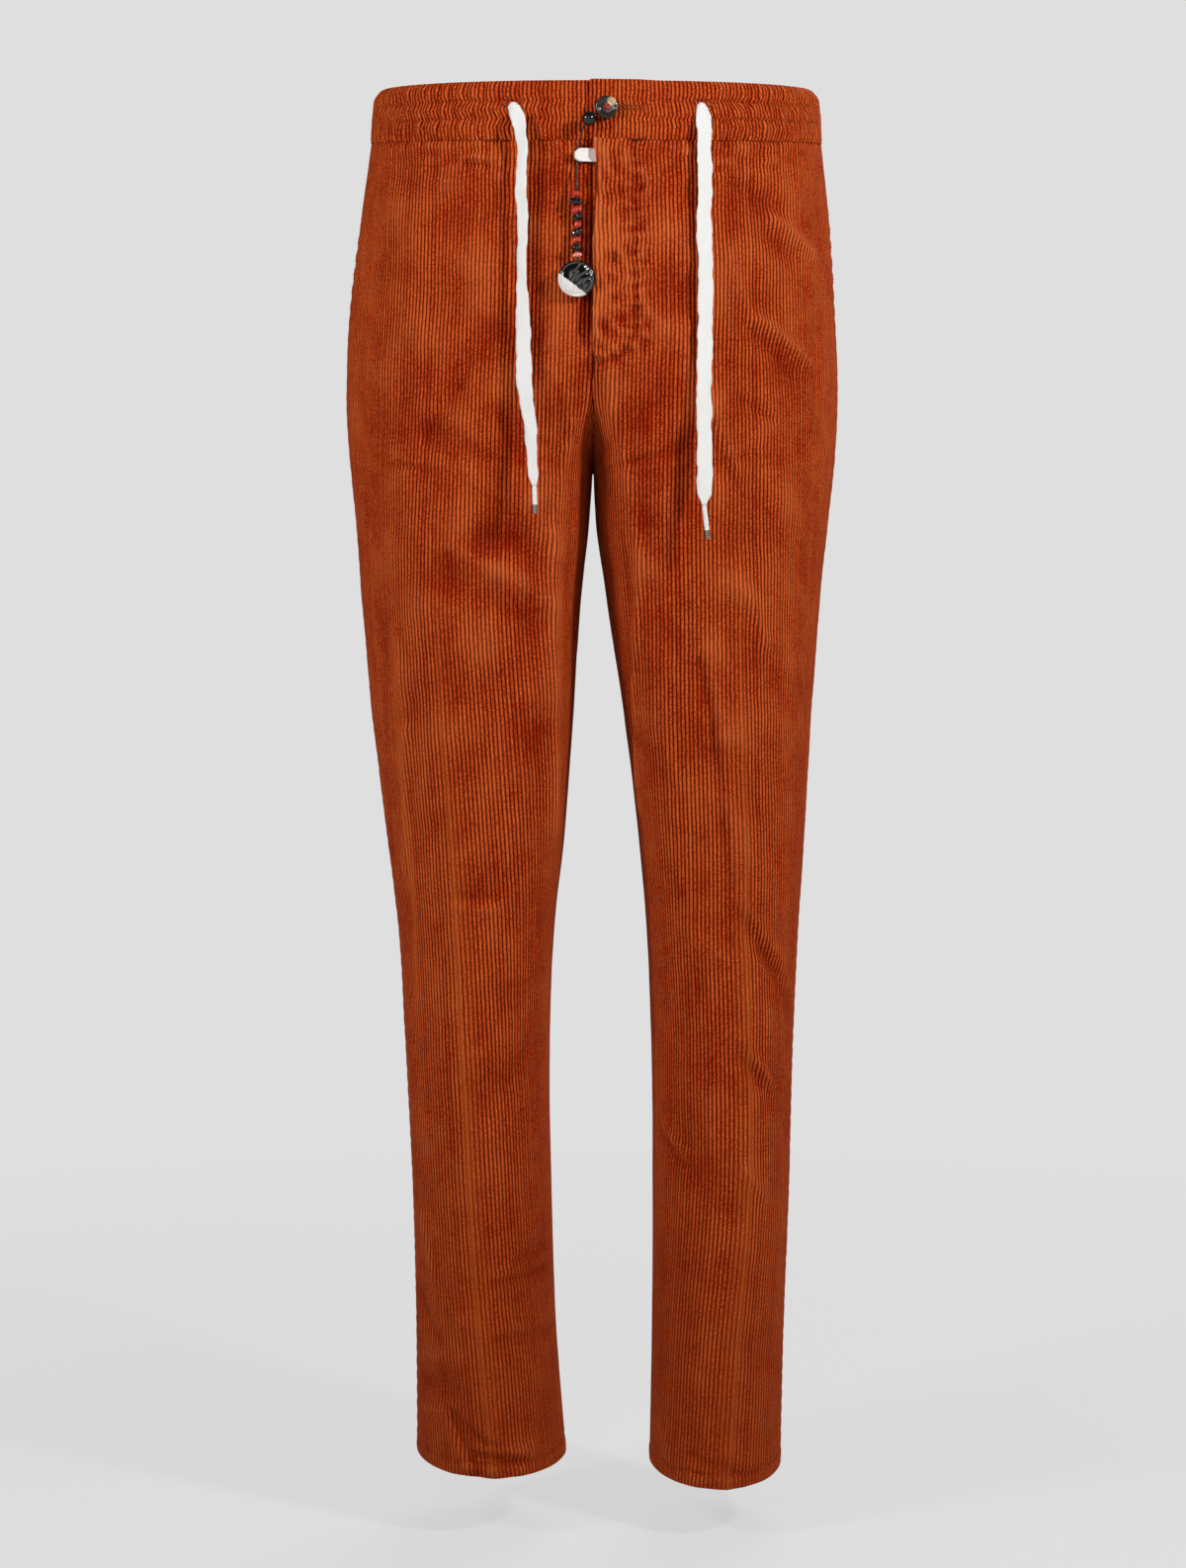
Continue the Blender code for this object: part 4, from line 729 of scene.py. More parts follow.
class Half:
    """One half of the trousers: where its cloth is, from its table of rows."""

    SAMPLES = 241
    FLATTEST = 0.9999

    def __init__(self, side: Side) -> None:
        """Keeps the side's rows and folds."""
        self.side = side
        self.rows = HALVES[side][::-1]
        self.hem = self.rows[0].z
        self.arcs: dict[tuple[Face, float], Arc] = {}
        self.folds: dict[Face, list[Fold]] = {face: [] for face in Face}
        for face in Face:
            for table, gain in ((MAIN_FOLDS, 1.0), (SMALL_FOLDS, FOLD_GAIN)):
                for *sizes, depth in table[side, face]:
                    self.folds[face].append(Fold(*(v / 1000 for v in sizes), gain * depth / 1000))

    def read(self, column: str, z: float) -> float:
        """One column of the table, at height z."""
        return float(eased([r.z for r in self.rows], [getattr(r, column) for r in self.rows], z))

    def arc(self, face: Face, z: float) -> Arc:
        """The outline at height z, kept once it is made."""
        key = (face, round(float(z), 6))
        if key not in self.arcs:
            self.arcs[key] = self.make_arc(face, float(z))
        return self.arcs[key]

    def make_arc(self, face: Face, z: float) -> Arc:
        """Works an outline out: two quarter ovals that meet at the line of the leg's middle.

        Above the crotch the inner one stops at the centre plane, where the seam is, and up the
        hips the two become one.
        """
        outer, inner, depth = self.read("outer", z), self.read("inner", z), self.read(face.value, z)
        roundness = 2.0 + HIP_SQUARENESS * float(smooth(z, -0.40, -0.10))
        thigh = float(smooth(z, *THIGH_ABOVE) * smooth(z, *THIGH_BELOW))
        inner_roundness = roundness + THIGH_SQUARENESS * thigh
        middle = (outer + inner) / 2 * (1 - float(smooth(z, MERGE_BOTTOM, MERGE_TOP)))
        start = math.pi
        inner_half = middle - inner
        if z > CROTCH_Z:
            up = min(1.0, (z - CROTCH_Z) / BEND[face])
            seam_depth = min(self.FLATTEST, math.sqrt(1 - (1 - up) ** 2))
            reach = (1 - seam_depth**inner_roundness) ** (1 / inner_roundness)
            inner_half = middle / reach
            start = math.pi - math.acos(reach ** (inner_roundness / 2)) if middle > 0 else math.pi / 2
        turn = np.linspace(start, 0.0, self.SAMPLES)
        c, s = np.cos(turn), np.sin(turn)
        half = np.where(c < 0, inner_half, outer - middle)
        power = 2 / np.where(c < 0, inner_roundness, roundness)
        x = middle + half * np.sign(c) * np.abs(c) ** power
        y = depth * np.clip(s, 0, 1) ** power
        signed_x = self.side.value * x
        signed_y = -y if face is Face.FRONT else y
        along = np.concatenate([[0], np.cumsum(np.hypot(np.diff(signed_x), np.diff(signed_y)))])
        crease_x = self.read("crease_x", z)
        if face is Face.BACK and z < CROTCH_Z:
            crease_x += ((outer + inner) / 2 - crease_x) * float(smooth(z, CROTCH_Z, CROTCH_Z - 0.15))
        return Arc(signed_x, signed_y, along, float(np.interp(crease_x, x, along)))

    def waist_rise(self, y: Array, z: float) -> Array:
        """How far the waist is raised there: it climbs to the back, its elastic side draws up."""
        back = (y / TOP_DEPTH + 1) / 2
        up_band = float(np.clip((z - BAND_BOTTOM) / (BAND_TOP - BAND_BOTTOM), 0, 1))
        rise = BACK_RISE * back * float(smooth(z, RISE_BOTTOM, BAND_BOTTOM))
        return rise - ELASTIC_SQUEEZE * np.minimum(1.0, 2 * back) * up_band

    def hem_drop(self, face: Face, share: Array, z: float) -> Array:
        """How far the hem hangs lower there: most at the front crease."""
        front = np.sin(np.pi * share) if face is Face.FRONT else 0.0
        low = float(smooth(z, self.hem + 0.25, self.hem))
        return (HEM_DIP * front + HEM_SLOPE[self.side] * (1 - share)) * low

    def relief(self, face: Face, across: Array, z: float) -> Array:
        """How far the folds and the pressed crease move the cloth out there."""
        total = self.read("crease", z) * np.exp(-np.abs(across) / CREASE_REACH)
        for fold in self.folds[face]:
            total = total + fold.at(across, z)
        return total

    def points(
        self, face: Face, along: Array, z: float, off: Any = 0.0, folded: bool = True
    ) -> tuple[Array, Array]:
        """Places on the cloth's outer face at one height.

        Args:
            face: front or back.
            along: distances along the cloth from the inner edge.
            z: the height.
            off: how far each place is moved out.
            folded: whether the folds and the crease count.

        Returns:
            The points and their outward normals, a row each.
        """
        arc = self.arc(face, z)
        wanted = along
        along = np.clip(along, 0.0, arc.length)
        flat = arc.at(along) + arc.heading(along) * (wanted - along)[:, None]
        share = along / arc.length
        step = 0.004
        higher, lower = self.arc(face, z + step), self.arc(face, z - step)
        rise = higher.at(share * higher.length) - lower.at(share * lower.length)
        rise = np.column_stack([rise, np.full(len(along), 2 * step)])
        heading = np.column_stack([arc.heading(along), np.zeros(len(along))])
        normal = np.cross(heading, rise)
        sign = self.side.value if face is Face.FRONT else -self.side.value
        normal *= sign / np.linalg.norm(normal, axis=1, keepdims=True)
        if folded:
            off = off + self.relief(face, along - arc.crease, z)
        point = np.column_stack([flat, np.full(len(along), z)]) + normal * np.reshape(off, (-1, 1))
        point[:, 2] += self.waist_rise(flat[:, 1], z) - self.hem_drop(face, share, z)
        corner = bell(arc.length - along, CORNER_REACH)
        point[:, 2] -= CORNER_DROP * corner * float(smooth(z, BAND_BOTTOM, BAND_TOP))
        if z > CROTCH_Z:
            # The centre seams stay shut, whatever the puckers beside them do.
            point[:, 0] = np.where(wanted <= 0, -self.side.value * SEWN, point[:, 0])
        return point, normal


HALF = {side: Half(side) for side in Side}


def fly_edge(z: float) -> float:
    """The distance along of the left front's inner edge."""
    rows = FLY_EDGE[::-1]
    return float(eased([r[0] for r in rows], [r[1] for r in rows], z)) if z > FLY_EDGE[-1][0] else -SEWN


def fly_lift(along: Array, z: float) -> Array:
    """How far the fly's overlap stands off what is under it."""
    stitched = 1 - smooth(along, 0.60 * FLY_WIDTH, FLY_WIDTH)
    return FLY_LAP * stitched * float(smooth(z, FLY_BOTTOM - 0.018, FLY_BOTTOM))


def pocket_slant(z: float) -> float:
    """How far forward of the side seam the pocket's mouth is at that height."""
    return max(0.0, POCKET_TOP_SLANT * (1 - (BAND_BOTTOM - z) / POCKET_LENGTH))


def band_bulge(z: float) -> float:
    """How far the waistband swells over its elastic, at that height."""
    share = min(1.0, max(0.0, (z - BAND_BOTTOM) / (BAND_TOP - BAND_BOTTOM)))
    return BAND_SWELL * math.sin(math.pi * share) - TOP_ROLL * float(smooth(z, BAND_TOP - 0.007, BAND_TOP))


def band_lift(side: Side, along: Array) -> Array:
    """The left band stands on the right band's underlap, and eases down beyond it."""
    if side is Side.RIGHT:
        return np.zeros(len(along))
    return FLY_LAP * (1 - smooth(along, UNDERLAP + 0.002, UNDERLAP + 0.022))


def front_surface(x: float, z: float) -> float:
    """The front's outer face at that place across: y, without the laps."""
    half = HALF[Side.LEFT if x >= 0 else Side.RIGHT]
    arc = half.arc(Face.FRONT, z)
    along = np.interp(abs(x), np.abs(arc.x), arc.along)
    return float(half.points(Face.FRONT, np.array([along]), z, band_bulge(z))[0][0][1])


# ---------------------------------------------------------------- meshes


def new_object(name: str, data: Any) -> bpy.types.Object:
    """A new object in the scene, with its mesh, curve, lamp or camera."""
    made = bpy.data.objects.new(name, data)
    bpy.context.scene.collection.objects.link(made)
    return made


def piece_from(
    name: str, points: Array, faces: Iterable[Sequence[int]], materials: Sequence[bpy.types.Material]
) -> bpy.types.Object:
    """Links a smooth mesh as a named piece that rides on the trousers."""
    mesh = bpy.data.meshes.new(name)
    mesh.from_pydata(np.asarray(points, float).tolist(), [], list(faces))
    for material in materials:
        mesh.materials.append(material)
    mesh.shade_smooth()
    made = new_object(name, mesh)
    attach(made, "root")
    return made


def turn_out(mesh: bpy.types.Mesh) -> None:
    """Makes every face of a closed mesh look outwards."""
    work = bmesh.new()
    work.from_mesh(mesh)
    bmesh.ops.recalc_face_normals(work, faces=work.faces)
    if work.calc_volume(signed=True) < 0:
        bmesh.ops.reverse_faces(work, faces=work.faces)
    work.to_mesh(mesh)
    work.free()


def set_attribute(mesh: bpy.types.Mesh, name: str, values: Array) -> None:
    """Keeps one number for each of the mesh's points under that name."""
    made = mesh.attributes.new(name, "FLOAT", "POINT")
    made.data.foreach_set("value", np.asarray(values, np.float32))


def ring_faces(rings: int, sides: int, start: int = 0) -> list[list[int]]:
    """The faces of a tube of rings, from one ring to the next, then both ends.

    Args:
        rings: how many rings.
        sides: how many points each has.
        start: the number of the first ring's first point.

    Returns:
        The faces, each a list of point numbers.
    """
    faces = []
    for r in range(rings - 1):
        for k in range(sides):
            a, b = start + r * sides + k, start + r * sides + (k + 1) % sides
            faces.append([a, b, b + sides, a + sides])
    faces.append(list(range(start, start + sides))[::-1])
    faces.append(list(range(start + (rings - 1) * sides, start + rings * sides)))
    return faces


@dataclass
class Grid:
    """Points of one face of a cloth, column by column of the pile and row by row down."""

    points: Array
    index: Array
    values: dict[str, Array]


@dataclass
class ClothShell:
    """A closed shell of corduroy.

    The outer mesh's columns run down the cloth. Where the piece's edge runs across them, the
    columns past it end in the edge. The inner face is coarser, and the rim joins the two. The
    attribute across carries the wales, which the material raises.

    Attributes:
        name: the piece's name.
        heights: the rows, from the top down.
        edges: the first and last distance across of a row, measured from the wale numbered 0.
        place: points and normals of a row, from distances across, the height and the lift.
        thickness: the wall at a height.
        relief: how far the outer face's fine creases move it out at distances across.
        sway: how far the wales of a row are shifted sideways at distances across.
        press: how flat the pile of a row is pressed at distances across, 0 to 1.
        folded: how far the folds move a row out at distances across; this sets only the painted highlight on
            their crests and the painted shade in their hollows.
        edge_roll: how far a cut edge rolls in, for the start, the end, the top and the bottom.
    """

    name: str
    heights: Array
    edges: Callable[[float], tuple[float, float]]
    place: Callable[[Array, float, Array], tuple[Array, Array]]
    thickness: Callable[[float], float]
    relief: Callable[[Array, float], Array] | None = None
    sway: Callable[[Array, float], Array] | None = None
    press: Callable[[Array, float], Array] | None = None
    folded: Callable[[Array, float], Array] | None = None
    column: float = COLUMN
    edge_roll: tuple[float, float, float, float] = (0.0011, 0.0011, 0.0011, 0.0)
    roll_reach: float = 0.0016
    inner_step: int = 4
    replaced: Sequence[str] = ()

    def columns(self) -> Array:
        """Distances across of the mesh's columns."""
        spans = np.array([self.edges(z) for z in self.heights])
        first = math.floor(spans[:, 0].min() / self.column) - 1
        last = math.ceil(spans[:, 1].max() / self.column) + 1
        return np.arange(first, last + 1) * self.column

    def face(self, across: Array, inner: bool) -> Grid:
        """One face's points, with each row's columns held between its edges."""
        points, index, values = [], [], {"across": [], "press": [], "worn": []}
        count = 0
        top, bottom = self.heights[0], self.heights[-1]
        for z in self.heights:
            start, end = self.edges(float(z))
            inside = (across > start + 1e-5) & (across < end - 1e-5)
            u = np.concatenate([[start], across[inside], [end]])
            numbers = np.searchsorted(across[inside], across) + 1
            numbers = np.where(across <= start + 1e-5, 0, np.where(across >= end - 1e-5, len(u) - 1, numbers))
            shift = self.sway(u, float(z)) if self.sway else np.zeros(len(u))
            shift = shift * smooth(u - start, 0, 0.004) * smooth(end - u, 0, 0.004)
            roll_start, roll_end, roll_top, roll_bottom = self.edge_roll
            reach = self.roll_reach
            rolled = roll_start * bell(u - start, reach)
            rolled += roll_end * bell(end - u, reach)
            across_rolls = roll_top * float(bell(top - z, reach))
            across_rolls += roll_bottom * float(bell(z - bottom, reach))
            rolled += across_rolls * (0.25 + 0.75 * smooth(np.minimum(u - start, end - u), 0.0, 0.035))
            deep = self.thickness(float(z)) + INNER_CLEAR * smooth(min(top - z, z - bottom), 0.0, 0.02)
            lift = np.full(len(u), -deep)
            moved = np.zeros(len(u))
            if not inner:
                if self.relief:
                    moved = np.maximum(self.relief(u + shift, float(z)), -0.65 * deep)
                lift = moved - rolled
                # The folds' height counts towards the painted light and shade as well; the shape already
                # holds them.
                if self.folded:
                    moved = moved + 0.6 * self.folded(u + shift, float(z))
            where, _ = self.place(u + shift, float(z), lift)
            points.append(where)
            index.append(numbers + count)
            count += len(u)
            values["across"].append(u)
            values["press"].append(self.press(u, float(z)) if self.press else np.zeros(len(u)))
            # Painted light and shade from the height of the relief: paler on crests, darker in hollows.
            values["worn"].append(np.clip(moved / RELIEF_LIGHT_FULL_AT, -1, 1))
        return Grid(np.vstack(points), np.array(index), {k: np.concatenate(v) for k, v in values.items()})

    def dressed(self, across: Any, z: float, off: float) -> tuple[Array, Array]:
        """Points and normals off the outer face as it shows, with its fine creases."""
        across = np.atleast_1d(across)
        return self.place(across, z, self.relief(across, z) + off)

    @staticmethod
    def cells(index: Array) -> tuple[Array, Array]:
        """The four-sided and three-sided faces of a grid, without its empty cells."""
        a, b = index[:-1, :-1].ravel(), index[:-1, 1:].ravel()
        d, c = index[1:, :-1].ravel(), index[1:, 1:].ravel()
        upper, lower = a != b, d != c
        quads = np.stack([a, b, c, d], 1)[upper & lower]
        threes = np.concatenate(
            [np.stack([a, b, c], 1)[upper & ~lower], np.stack([a, c, d], 1)[~upper & lower]]
        )
        return quads, threes

    def build(self, finishes: Finishes) -> bpy.types.Object:
        """Makes the shell, dressed in pile outside and the woven back inside."""
        across = self.columns()
        outer = self.face(across, inner=False)
        picked = np.unique(np.append(np.arange(0, len(across), self.inner_step), len(across) - 1))
        inner = self.face(across[picked], inner=True)
        skip = len(outer.points)
        inner_index = inner.index + skip
        outside = [cell for part in self.cells(outer.index) for cell in part.tolist()]
        inside = [cell[::-1] for part in self.cells(inner_index) for cell in part.tolist()]
        rim = []
        for column in (0, -1):
            a, b = outer.index[:-1, column], outer.index[1:, column]
            d, c = inner_index[:-1, column], inner_index[1:, column]
            sides = np.stack([a, b, c, d] if column == 0 else [b, a, d, c], 1)
            rim += sides.tolist()
        for row in (0, -1):
            for k in range(len(picked) - 1):
                run = outer.index[row, picked[k] : picked[k + 1] + 1]
                run = run[np.append(True, np.diff(run) != 0)].tolist()
                back = [int(inner_index[row, k + 1]), int(inner_index[row, k])]
                ring = run + (back if back[0] != back[1] else back[:1])
                if len(ring) > 2 and len(run) + (back[0] != back[1]) > 1:
                    rim.append(ring[::-1] if row == 0 else ring)
        points = np.vstack([outer.points, inner.points])
        made = piece_from(self.name, points, outside + rim + inside, [finishes.pile, finishes.back])
        for key in outer.values:
            set_attribute(made.data, key, np.concatenate([outer.values[key], inner.values[key]]))
        slots = np.zeros(len(made.data.polygons), np.int32)
        slots[len(outside) + len(rim) :] = 1
        made.data.polygons.foreach_set("material_index", slots)
        turn_out(made.data)
        made.data.set_sharp_from_angle(angle=math.radians(70))
        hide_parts(*self.replaced)
        return made


def flat_area(shell: ClothShell) -> tuple[float, float, float]:
    """A cloth's cut: its greatest width, its length and the area inside its edges, in metres."""
    widths = np.array([np.ptp(shell.edges(float(z))) for z in shell.heights])
    length = float(shell.heights[0] - shell.heights[-1])
    area = float(np.sum((widths[1:] + widths[:-1]) / 2 * -np.diff(shell.heights)))
    return float(widths.max()), length, area


# ---------------------------------------------------------------- cloth pieces


def ripple(value: Array, seed: float) -> Array:
    """A smooth uneven wave between about -1 and 1, from three that don't repeat together."""
    return (
        0.5 * np.sin(value + 1.7 * seed)
        + 0.3 * np.sin(1.618 * value + 2.9 * seed)
        + 0.2 * np.sin(2.414 * value + 0.6 * seed)
    )


def crumple(u: Any, v: Any, size: float, seed: float) -> Array:
    """Uneven cloth between about -1 and 1, the same every time.

    Args:
        u: the first distance.
        v: the second distance.
        size: from one hollow to the next, roughly.
        seed: a different number gives other hollows.

    Returns:
        The height at each place.
    """
    total = 0.0
    for k in range(6):
        turn = 2.4 * k + 1.3 * seed
        scale = 2 * math.pi / size * (0.70 + 0.13 * k)
        total = total + np.sin(scale * (u * math.cos(turn) + v * math.sin(turn)) + 2.1 * k * (1 + seed))
    return total / 3.2


def notched(value: Array) -> Array:
    """Puckers along a seam, 0 to 1: narrow dips with rounder cloth between them."""
    return (0.5 + 0.5 * np.sin(value)) ** 2


@dataclass
class LegPanel:
    """A front or a back, from the waistband to the hem."""

    side: Side
    face: Face
    gather: float = 0.0013  # depth of the gathers under the waistband
    gather_length: float = 0.022  # how far down they fade
    pucker: float = 0.0007
    pucker_pitch: float = 0.0105
    pucker_reach: float = 0.010  # how far from the seam they fade
    hem_stitch: float = 0.0012
    drape: tuple[float, float] = (0.0004, 0.0009)  # depth of the soft hollows, and how much more up high
    drape_size: float = 0.052
    dimple: float = 0.00035  # depth of the small hollows among them
    dimple_size: float = 0.021
    wrinkle: float = 0.0012  # height of the cross wrinkles that the gathers end in
    sink: float = 0.0016  # how far the underlap sinks beside the fly's edge
    fly_line: float = 0.0020  # how far the fly's stitches draw the cloth in
    fly_pucker: float = 0.0023
    fly_pitch: float = 0.0075
    fly_rise: float = 0.0032  # how far the fly's free edge stands up
    fly_ridge: float = 0.0022  # height of the lap's sharp ridges
    fly_crumple: float = 0.0010

    # The heights between which the small folds lie.
    CREASED = {
        Face.FRONT: ((-0.020, -0.310), (-0.540, -0.720), (-0.880, -0.960)),
        Face.BACK: ((-0.150, -0.330), (-0.540, -0.700), (-0.880, -0.930)),
    }

    @property
    def half(self) -> Half:
        """The half of the trousers that the panel is on."""
        return HALF[self.side]

    def span(self, z: float) -> tuple[float, float]:
        """The first and last distance along of a row."""
        arc = self.half.arc(self.face, z)
        start, end = -SEWN, arc.length + SEWN
        if self.face is Face.FRONT:
            end -= pocket_slant(z)
            if self.side is Side.LEFT:
                start = fly_edge(z)
        return start, end

    def edges(self, z: float) -> tuple[float, float]:
        """The same, measured from the pressed crease."""
        crease = self.half.arc(self.face, z).crease
        start, end = self.span(z)
        return start - crease, end - crease

    def drawn_in(self, along: Array, z: float) -> Array:
        """How far gathers, stitching and seams move the cloth there.

        Where the leg turns away to the side it keeps smoother, so that its outline does.
        """
        facing = 0.15 + 0.85 * np.abs(self.half.arc(self.face, z).heading(along)[:, 0]) ** 2
        seed = self.side.value + (3.0 if self.face is Face.BACK else 0.0)
        top = BAND_BOTTOM - z
        # The drape: soft hollows on the hips and thighs, fainter down the leg.
        high = float(smooth(z, -0.60, -0.36))
        deep = self.drape[0] + self.drape[1] * high
        move = deep * crumple(along, z * 0.8, self.drape_size, seed) * float(smooth(top, 0.0, 0.03))
        small = self.dimple * crumple(along, z * 0.7, self.dimple_size, seed + 4)
        move += small * float(smooth(top, 0.0, 0.02))
        # The gathers under the band, and the short cross wrinkles they end in.
        fade = math.exp(-top / self.gather_length)
        move += self.gather * fade * crumple(along, z * 0.25, 0.009, seed + 1)
        move += self.wrinkle * float(bell(top - 0.012, 0.013)) * crumple(along * 0.35, z, 0.010, seed + 2)
        move = move * facing
        if self.face is Face.FRONT and self.side is Side.RIGHT:
            # The underlap sinks a little beside the fly's edge.
            move = move - self.sink * bell(along, 0.011) * float(smooth(z, FLY_BOTTOM, FLY_BOTTOM + 0.03))
        end = self.span(z)[1]
        # Puckers beside the side seam or the pocket's mouth.
        near_end = np.exp(-(end - along) / self.pucker_reach)
        draw = 1.0 + 0.8 * float(smooth(z, -0.16, -0.03)) if self.face is Face.FRONT else 1.0
        puckers = notched(np.full(1, z * (2 * math.pi) / self.pucker_pitch + seed))
        move -= self.pucker * draw * puckers * near_end
        hem_line = self.half.hem + HEM_TURN
        move -= self.hem_stitch * bell(z - hem_line, 0.0014)
        below = float(smooth(z, hem_line + 0.004, hem_line))
        beside = float(bell(z - hem_line, 0.007))
        move += 0.0004 * below + 0.0010 * beside * facing * crumple(along, z, 0.012, seed + 1)
        if self.face is Face.FRONT and self.side is Side.LEFT:
            move += self.fly_relief(along, z)
        return move

    def fly_relief(self, along: Array, z: float) -> Array:
        """The fly's curved row of stitches, the puckers on both sides of it and the crumpled lap."""
        away, run = FlyStitch().distance(along, z)
        line = -self.fly_line * bell(away, 0.0019)
        swell = bell(away, 0.0070)
        slanted = run * 2 * math.pi / self.fly_pitch + along * 110 + 1.2 * crumple(along, z, 0.03, 2.0)
        puckers = self.fly_pucker * swell * (notched(slanted) - 0.4)
        ridges = 0.6 - np.abs(crumple(along * 0.9, z * 0.8, 0.020, 3.0))
        small = crumple(along, z * 0.7, 0.009, 5.0)
        on_fly = self.fly_share(along, z)
        edge = self.fly_rise * bell(along, 0.009) * on_fly
        return line + puckers + edge + on_fly * (self.fly_ridge * ridges + self.fly_crumple * small)

    def relief(self, across: Array, z: float) -> Array:
        """The same for distances across."""
        return self.drawn_in(across + self.half.arc(self.face, z).crease, z)

    def folded(self, across: Array, z: float) -> Array:
        """How far the folds alone move the cloth out."""
        return sum((fold.at(across, z) for fold in self.half.folds[self.face]), np.zeros(len(across)))

    def surface(self, across: Array, z: float, lift: Array) -> tuple[Array, Array]:
        """Points and normals on the dressed outer face."""
        return self.place(across, z, lift + self.relief(across, z))

    def place(self, across: Array, z: float, lift: Array) -> tuple[Array, Array]:
        """Points and normals of a row."""
        along = across + self.half.arc(self.face, z).crease
        if self.face is Face.FRONT and self.side is Side.LEFT:
            lift = lift + fly_lift(along, z)
        return self.half.points(self.face, along, z, lift)

    def sway(self, across: Array, z: float) -> Array:
        """The wales lean a little to and fro below the waistband, on the fly and down the leg."""
        near_top = math.exp(-(BAND_BOTTOM - z) / 0.030)
        lean = 0.0006 * near_top * np.sin(z * 2 * math.pi / 0.030 + across * 18)
        lean += 0.0006 * np.sin(z * 9.0 + across * 11 + 2.0 * self.side.value)
        if self.face is Face.FRONT and self.side is Side.LEFT:
            on_fly = self.fly_share(across + self.half.arc(self.face, z).crease, z)
            lean += 0.0005 * on_fly * crumple(across * 0.5, z, 0.018, 4.0)
        return lean

    def pressed(self, across: Array, z: float) -> Array:
        """How flat the iron has laid the pile: along the crease, and in a band beside it. On the right front
        a further band down the thigh is no pressing but a painted sheen.
        """
        share = 0.62 * self.half.read("crease", z) / 0.0030
        wander = 0.0006 * math.sin(z * 31 + self.side.value)
        flat = bell(across - 0.0020 + wander, 0.0020)
        flat += 0.35 * bell(across + 0.0045, 0.0024)
        # Painted sheen: a pale band down the right front's thigh, painted as if pressed.
        if self.face is Face.FRONT and self.side is Side.RIGHT:
            beside = smooth(z, -0.34, -0.42) * smooth(z, -0.66, -0.58)
            flat += 0.8 * beside * bell(across - 0.0430 + 3 * wander, 0.0034)
        return np.clip(0.85 * flat * min(1.0, share), 0, 1)

    @staticmethod
    def fly_share(along: Array, z: float) -> Array:
        """1 on the fly, easing to 0 just outside its stitching."""
        inside = 1 - smooth(along, FLY_WIDTH, FLY_WIDTH + 0.012)
        return inside * float(smooth(z, FLY_BOTTOM - 0.012, FLY_BOTTOM + 0.010))

    def thickness(self, z: float) -> float:
        """The wall: the hem is turned up inside."""
        return CLOTH * (HEM_LAYERS if z < self.half.hem + HEM_TURN + 0.001 else 1.0)

    def heights(self) -> Array:
        """The rows, closer together at the top, round the fly's end and at the hem."""
        top, hem = BAND_BOTTOM - SEAM, self.half.hem
        first = top - np.array([0.0, 0.0008, 0.0018, 0.0032, 0.005, 0.008, 0.0115])
        turned = [0.0145, 0.0125, 0.0112, 0.0104, 0.0096, 0.0088, 0.0075, 0.005, 0.0022, 0.0009, 0.0]
        last = hem + np.array(turned)
        rows = [float(first[-1])]
        while rows[-1] > last[0] + ROW:
            creased = any(high > rows[-1] > low for high, low in self.CREASED[self.face])
            rows.append(rows[-1] - (FINE_ROW if creased else ROW))
        return np.concatenate([first, rows[1:], last])

    def shell(self) -> ClothShell:
        """The panel as a shell of corduroy."""
        name = f"{self.face.value}_{self.side.word}"
        return ClothShell(
            f"{name}_cloth",
            self.heights(),
            self.edges,
            self.place,
            self.thickness,
            self.relief,
            self.sway,
            self.pressed,
            self.folded,
            edge_roll=(0.0010, 0.0010, 0.0009, 0.0006),
            replaced=[name],
        )


@dataclass
class FlyStitch:
    """The curved row of stitches that holds the fly: straight down, then round to the seam."""

    out: float = 0.0290
    turn_z: float = -0.1440
    end_along: float = 0.0035
    end_z: float = -0.1735
    top: float = BAND_BOTTOM - 0.001

    def path(self) -> Array:
        """The row's points: distance along and height."""
        turn = np.linspace(0, math.pi / 2, 12)
        x = self.end_along + (self.out - self.end_along) * np.cos(turn) ** 0.85
        z = self.turn_z + (self.end_z - self.turn_z) * np.sin(turn)
        return np.column_stack([np.concatenate([[self.out], x]), np.concatenate([[self.top], z])])

    def distance(self, along: Array, z: float) -> tuple[Array, Array]:
        """How far places are from the row, and how far along the row the nearest point is."""
        path = self.path()
        best = np.full(len(along), 1.0)
        run = np.zeros(len(along))
        passed = 0.0
        for a, b in zip(path[:-1], path[1:]):
            step = b - a
            size = float(np.hypot(*step))
            t = np.clip(((along - a[0]) * step[0] + (z - a[1]) * step[1]) / size**2, 0, 1)
            away = np.hypot(along - a[0] - t * step[0], z - a[1] - t * step[1])
            closer = away < best
            best = np.where(closer, away, best)
            run = np.where(closer, passed + t * size, run)
            passed += size
        return best, run


